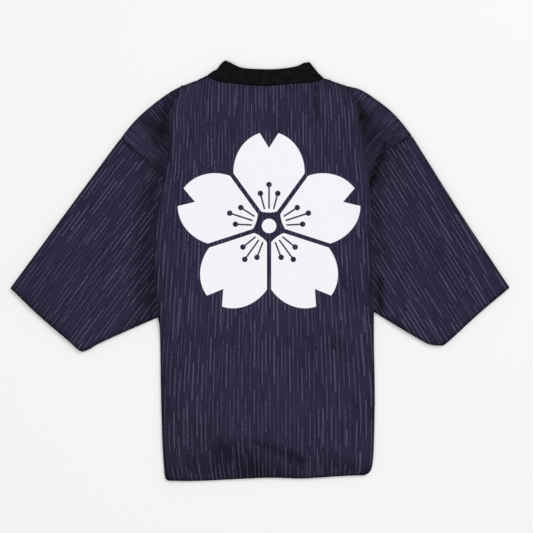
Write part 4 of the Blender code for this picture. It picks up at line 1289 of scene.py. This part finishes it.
def slub_layer(tree, u, v, lane):
    """The slubs of one set of lanes, and the painted shadow on the ground right beside them."""
    across = u / lane.pitch + lane.seed
    column = across.floor()
    column_dice = dice(tree, column, lane.seed + 0.5)
    in_step = ((column / LANES_IN_REPEAT).part() - 0.4).size().fade(0.1, 0.2, 0.22, 0.75)
    sway = cloud(tree, u, v, 7, 1.5, 1.0)
    downward = v / lane.stretch + column_dice[0] * in_step + sway * 1.6
    cell = dice(tree, column, downward.floor() + lane.seed)
    more = dice(tree, column + 0.37, downward.floor() - lane.seed)
    present = cell[0].fade(lane.chance, lane.chance - 0.02)
    from_centre = (across.part() - 0.5 - (column_dice[1] - 0.5) * lane.jitter).size()
    width = more[0] * lane.width * 0.5 + lane.width * 0.75
    line = from_centre.fade(width * 0.35, width, 1.0, 0.0)
    place = downward.part()
    begins = more[1] * 0.15 + 0.01
    ends = begins + SLUB_SHORTEST + more[2] * (SLUB_LONGEST - SLUB_SHORTEST)
    length = present * place.fade(begins, begins + SLUB_TAPER) * place.fade(ends - SLUB_TAPER, ends, 1.0, 0.0)
    beads = cloud(tree, across * 3.0, v, 1.0, 260, 1.0).fade(0.32, 0.64, 0.38, 1.0)
    flank = from_centre.fade(width - 0.04, width + 0.04)
    flank = flank * from_centre.fade(width + 0.06, width + 0.22, 1.0, 0.0)
    pale = cell[2] * (SLUB_PALEST - SLUB_DULLEST) + SLUB_DULLEST
    return length * line * beads * pale, length * flank


def cloth_place(tree):
    node = add_node(tree, "UVMap", {}, uv_map="cloth")
    u, v, _ = split(tree, node.outputs[0])
    return u, v


# the shade painted into each grid, from 0 for lit cloth to 1 for the deepest tuck
def painted_shade_depth(tree):
    node = add_node(tree, "Attribute", {}, attribute_name="tuck")
    return Wire(tree, node.outputs["Fac"])


def weave_bump(tree, u, v, raised_by, shader, strength):
    """Plain weave as a bump, with whatever else stands up of the cloth."""
    warp, weft = ((way * (2 * math.pi / WEAVE_PITCH)).sine() for way in (u, v))
    height = warp * weft * WEAVE_SHARE + raised_by
    node = add_node(tree, "Bump", {"Strength": strength, "Distance": WEAVE_DEPTH, "Height": height})
    tree.links.new(node.outputs[0], shader.inputs["Normal"])


def new_material(name, roughness, specular, sheen):
    material = bpy.data.materials.new(name)
    material.use_nodes = True
    shader = material.node_tree.nodes["Principled BSDF"]
    looks = {"Roughness": roughness, "Specular IOR Level": specular, "Sheen Weight": sheen}
    for socket, value in looks.items():
        shader.inputs[socket].default_value = value
    return material, material.node_tree, shader


def navy_ground(tree, u, v, tuck):
    """Colour of the cloth with its painted shade, in the tucks and beside the slubs, and how far its surface
    stands up.
    """
    wandered = u + (cloud(tree, u, v, 40, 9) - 0.5) * WARP_WANDER
    slubs, flanks = slub_layer(tree, wandered, v, SLUB_LANES[0])
    for lane in SLUB_LANES[1:]:
        more_slubs, more_flanks = slub_layer(tree, wandered, v, lane)
        slubs, flanks = slubs.most(more_slubs), flanks.most(more_flanks)
    threads = cloud(tree, wandered, v, 620, 16, 3.0)
    mottle = cloud(tree, u, v, 300, 230, 2.0)
    patches = cloud(tree, u, v, 14, 9, 2.0)
    tone = (threads * 0.54 + mottle * 0.32 + patches * 0.14).fade(0.31, 0.69)
    colour = mixed(tree, tone, NAVY_DARK, NAVY_LIGHT)
    # painted shadow on the ground beside each raised slub
    colour = mixed(tree, flanks * FLANK_DARK, colour, NAVY_SHADE)
    # painted shade of tucks, hollows, rolled edges, seams and lips, which leaves the slubs a little paler
    colour = mixed(tree, tuck, colour, PAINTED_SHADE_COLOUR)
    colour = mixed(tree, slubs * tuck.below(1.0, SLUB_PAINTED_SHADE), colour, SLUB_COLOUR)
    return colour, slubs * 0.55 + threads * 0.35


def navy_cotton(name, with_print=False):
    material, tree, shader = new_material(name, roughness=0.92, specular=0.10, sheen=0.04)
    u, v = cloth_place(tree)
    colour, height = navy_ground(tree, u, v, painted_shade_depth(tree))
    if with_print:
        inside = blossom(tree)
        mottle = cloud(tree, u, v, 160, 160, 3.0)
        white = mixed(tree, mottle, PRINT_SHADE, PRINT_WHITE)
        colour = mixed(tree, inside, colour, white)
        height = height * inside.below(1.0, PRINT_FILLS) + inside * PRINT_RAISED
    tree.links.new(colour, shader.inputs["Base Color"])
    weave_bump(tree, u, v, height, shader, strength=0.5)
    return material


# %% [markdown]
# ## The print on the back
#
# A festival coat carries a large white print between the shoulders. This one has a plain five-petal
# cherry blossom, the commonest of motifs. It is drawn with sums in the material, in one petal's own
# coordinates, and the other four come from turning the angle: the angle round the middle is divided
# into five, and each part is measured from its own petal's axis. A petal is an oval with a notch at
# its tip, and stamens are thin lines of bare cloth with a dot at each end.

# %% Draw the blossom
PRINT_WHITE = (0.930, 0.905, 0.960)
PRINT_SHADE = (0.890, 0.865, 0.925)
PRINT_X, PRINT_Y = 0.0188, 0.0927
PETALS = 5
PETAL_TIP = 0.196        # from the middle of the blossom to the tips of its petals
PETAL_CENTRE = 0.112
PETAL_HALF_WIDTH = 0.074
PETAL_GAP = 0.0045       # half of the bare line between two petals
NOTCH_DEPTH = 0.034
NOTCH_SLOPE = 0.62       # half width of the notch for each metre of its depth
HEART = 0.0150           # radius of the disc in the middle
HEART_GAP = 0.0085       # bare ring round it
STAMEN_ANGLES = (0.0, 15.0)
STAMEN_FROM, STAMEN_TO = 0.036, (0.086, 0.070)
STAMEN_HALF_WIDTH = 0.0017
STAMEN_DOT = 0.0058
PRINT_SOFT = 0.0006      # softness of the print's edge
PRINT_FILLS = 0.7        # how much of the weave and slubs the print's paint hides
PRINT_RAISED = 0.8       # how far the paint itself stands up, in the bump


def edge_of(distance):
    """1 where a distance is positive, with a soft edge."""
    return distance.fade(-PRINT_SOFT, PRINT_SOFT)


def blossom(tree):
    """1 on the white print and 0 on the bare cloth."""
    coordinates = add_node(tree, "TexCoord", {})
    x, y, _ = split(tree, coordinates.outputs["Object"])
    x, y = x - PRINT_X, y - PRINT_Y
    radius = (x * x + y * y).root()
    turn = x.step("ARCTAN2", y) / (2 * math.pi / PETALS)
    angle = ((turn + 0.5).part() - 0.5) * (2 * math.pi / PETALS)
    across, out = (radius * angle.sine()).size(), radius * angle.step("COSINE")
    oval_x, oval_y = across / PETAL_HALF_WIDTH, (out - PETAL_CENTRE) / (PETAL_TIP - PETAL_CENTRE)
    oval = edge_of((oval_x * oval_x + oval_y * oval_y).root().below(1.0) * PETAL_HALF_WIDTH)
    notch = edge_of(across - (out - (PETAL_TIP - NOTCH_DEPTH)) * NOTCH_SLOPE)
    half_turn = math.pi / PETALS
    beside = across * -math.cos(half_turn) + out * math.sin(half_turn)
    petal = oval * notch * edge_of(beside - PETAL_GAP) * edge_of(radius - HEART - HEART_GAP)
    for degrees, reach in zip(STAMEN_ANGLES, STAMEN_TO):
        lean = math.radians(degrees)
        along_it = across * math.sin(lean) + out * math.cos(lean)
        off_it = (across * math.cos(lean) - out * math.sin(lean)).size()
        line = edge_of(off_it.below(STAMEN_HALF_WIDTH)) * edge_of(along_it - STAMEN_FROM)
        line = line * edge_of(along_it.below(reach))
        from_dot = ((along_it - reach) * (along_it - reach) + off_it * off_it).root()
        petal = petal * line.below(1.0) * edge_of(from_dot - STAMEN_DOT)
    return petal.most(edge_of(radius.below(HEART)))


# %% [markdown]
# ## Black collar cotton
#
# The collar is plain, dense and black. Its nap is brushed along the band, so it shows a faint, long
# grain, and shade is painted along its rounded edges.

# %% Black cotton
BLACK_DARK = (0.0018, 0.0017, 0.0022)
BLACK_LIGHT = (0.0068, 0.0065, 0.0072)
# colour of the painted shade along the band's edges
BLACK_EDGE_SHADE = (0.0008, 0.0008, 0.0013)


def black_cotton(name):
    material, tree, shader = new_material(name, roughness=0.90, specular=0.08, sheen=0.02)
    u, v = cloth_place(tree)
    grain = cloud(tree, u, v, 420, 30, 3.0)
    mottle = cloud(tree, u, v, 90, 70, 2.0)
    tone = (grain * 0.5 + mottle * 0.5).fade(0.3, 0.7)
    colour = mixed(tree, tone, BLACK_DARK, BLACK_LIGHT)
    # painted shade along the band's edges
    colour = mixed(tree, painted_shade_depth(tree), colour, BLACK_EDGE_SHADE)
    tree.links.new(colour, shader.inputs["Base Color"])
    weave_bump(tree, u, v, grain * 0.4, shader, strength=0.45)
    return material


# %% Make the materials and the pieces
navy = navy_cotton("navy_slub_cotton")
navy_printed = navy_cotton("navy_slub_cotton_with_print", with_print=True)
black = black_cotton("black_collar_cotton")

back = build_back([navy_printed, navy])
left_sleeve = build_sleeve("left_sleeve_cloth", LEFT, LEFT_SLEEVE_FOLDS, [navy])
right_sleeve = build_sleeve("right_sleeve_cloth", RIGHT, RIGHT_SLEEVE_FOLDS, [navy])
left_front = build_front("left_front_cloth", LEFT, [navy])
right_front = build_front("right_front_cloth", RIGHT, [navy])
collar = build_collar([black])
pieces = (back, left_sleeve, right_sleeve, left_front, right_front, collar)

for piece in pieces:
    mesh = piece.evaluated_get(bpy.context.evaluated_depsgraph_get()).to_mesh()
    mesh.calc_loop_triangles()
    area = sum(face.area for face in mesh.polygons)
    print(f"{piece.name}: {len(mesh.loop_triangles)} triangles, half its area {area / 2:.4f} square metres")

# %% [markdown]
# ## Each piece stands for its solid
#
# Every shell replaces the solid of its own panel and rides on the coat's one body. The table lists
# each with the size that was cut: the two sleeves all round their tubes, the collar as the strip
# that is folded double, and the back with the width that its folds take up.

Cut = namedtuple("Cut", "piece node slot width length area rests_on")

CUTS = (
    Cut(back, "back_panel", "navy_cotton", 0.640, 0.850, 0.394,
        ["left_front_cloth", "right_front_cloth", "left_sleeve_cloth", "right_sleeve_cloth"]),
    Cut(left_sleeve, "left_sleeve", "navy_cotton", 0.640, 0.420, 0.186, ["floor"]),
    Cut(right_sleeve, "right_sleeve", "navy_cotton", 0.620, 0.400, 0.167, ["floor"]),
    Cut(left_front, "left_front", "navy_cotton", 0.250, 0.830, 0.130, ["floor"]),
    Cut(right_front, "right_front", "navy_cotton", 0.245, 0.825, 0.129, ["floor"]),
    Cut(collar, "collar", "black_cotton", 0.052, 1.950, None, ["left_front_cloth", "right_front_cloth"]),
)
for cut in CUTS:
    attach(cut.piece, "root")
    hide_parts(cut.node)
    print(cut.piece.name, "replaces", cut.node)

# %% [markdown]
# ## Floor, camera and light
#
# The coat is shown as a shop shows it: straight from above, filling the picture, on a floor that is
# almost white. A long lens keeps its outline free of perspective. The light is a large soft box
# over its upper right side, a weaker one above it and an even pale surround, so folds are shaded
# softly and the white print and the floor stay just below pure white.

# %% Floor
FLOOR_SIDE = 12.0
FLOOR_COLOUR = (0.905, 0.905, 0.905)

bm = bmesh.new()
bmesh.ops.create_grid(bm, x_segments=1, y_segments=1, size=FLOOR_SIDE / 2)
floor_material, _, floor_shader = new_material("pale_floor", roughness=0.9, specular=0.1, sheen=0.0)
floor_shader.inputs["Base Color"].default_value = (*FLOOR_COLOUR, 1.0)
floor = mesh_object("floor", bm, [floor_material])

# %% Camera and light
VIEW_WIDTH = 1.1104      # width of the floor that the picture shows
VIEW_X, VIEW_Y = 0.0135, 0.0083
VIEW_PLANE = 0.006       # height at which that width is measured
LENS, SENSOR = 85.0, 36.0
SURROUND = 0.45          # strength of the light from all around

camera = linked("camera", bpy.data.cameras.new("camera"))
camera.data.lens, camera.data.sensor_width = LENS, SENSOR
camera.location = (VIEW_X, VIEW_Y, VIEW_PLANE + VIEW_WIDTH * LENS / SENSOR)
bpy.context.scene.camera = camera

SoftBox = namedtuple("SoftBox", "name x y z side power")
SOFT_BOXES = (
    SoftBox("key_light", 2.6, 3.2, 5.6, 4.0, 210.0),
    SoftBox("top_light", -0.7, -0.9, 4.2, 3.8, 62.0),
)
for box in SOFT_BOXES:
    light = linked(box.name, bpy.data.lights.new(box.name, "AREA"))
    with_settings(light.data, shape="SQUARE", size=box.side, energy=box.power)
    light.location = (box.x, box.y, box.z)
    light.rotation_euler = (-Vector(light.location)).to_track_quat("-Z", "Y").to_euler()

world = bpy.data.worlds.new("pale surround")
world.use_nodes = True
surround = world.node_tree.nodes["Background"]
surround.inputs["Color"].default_value = (1.0, 1.0, 1.0, 1.0)
surround.inputs["Strength"].default_value = SURROUND
bpy.context.scene.world = world
bpy.context.scene.view_settings.view_transform = "Standard"
print("camera height", round(camera.location.z, 3), "m")
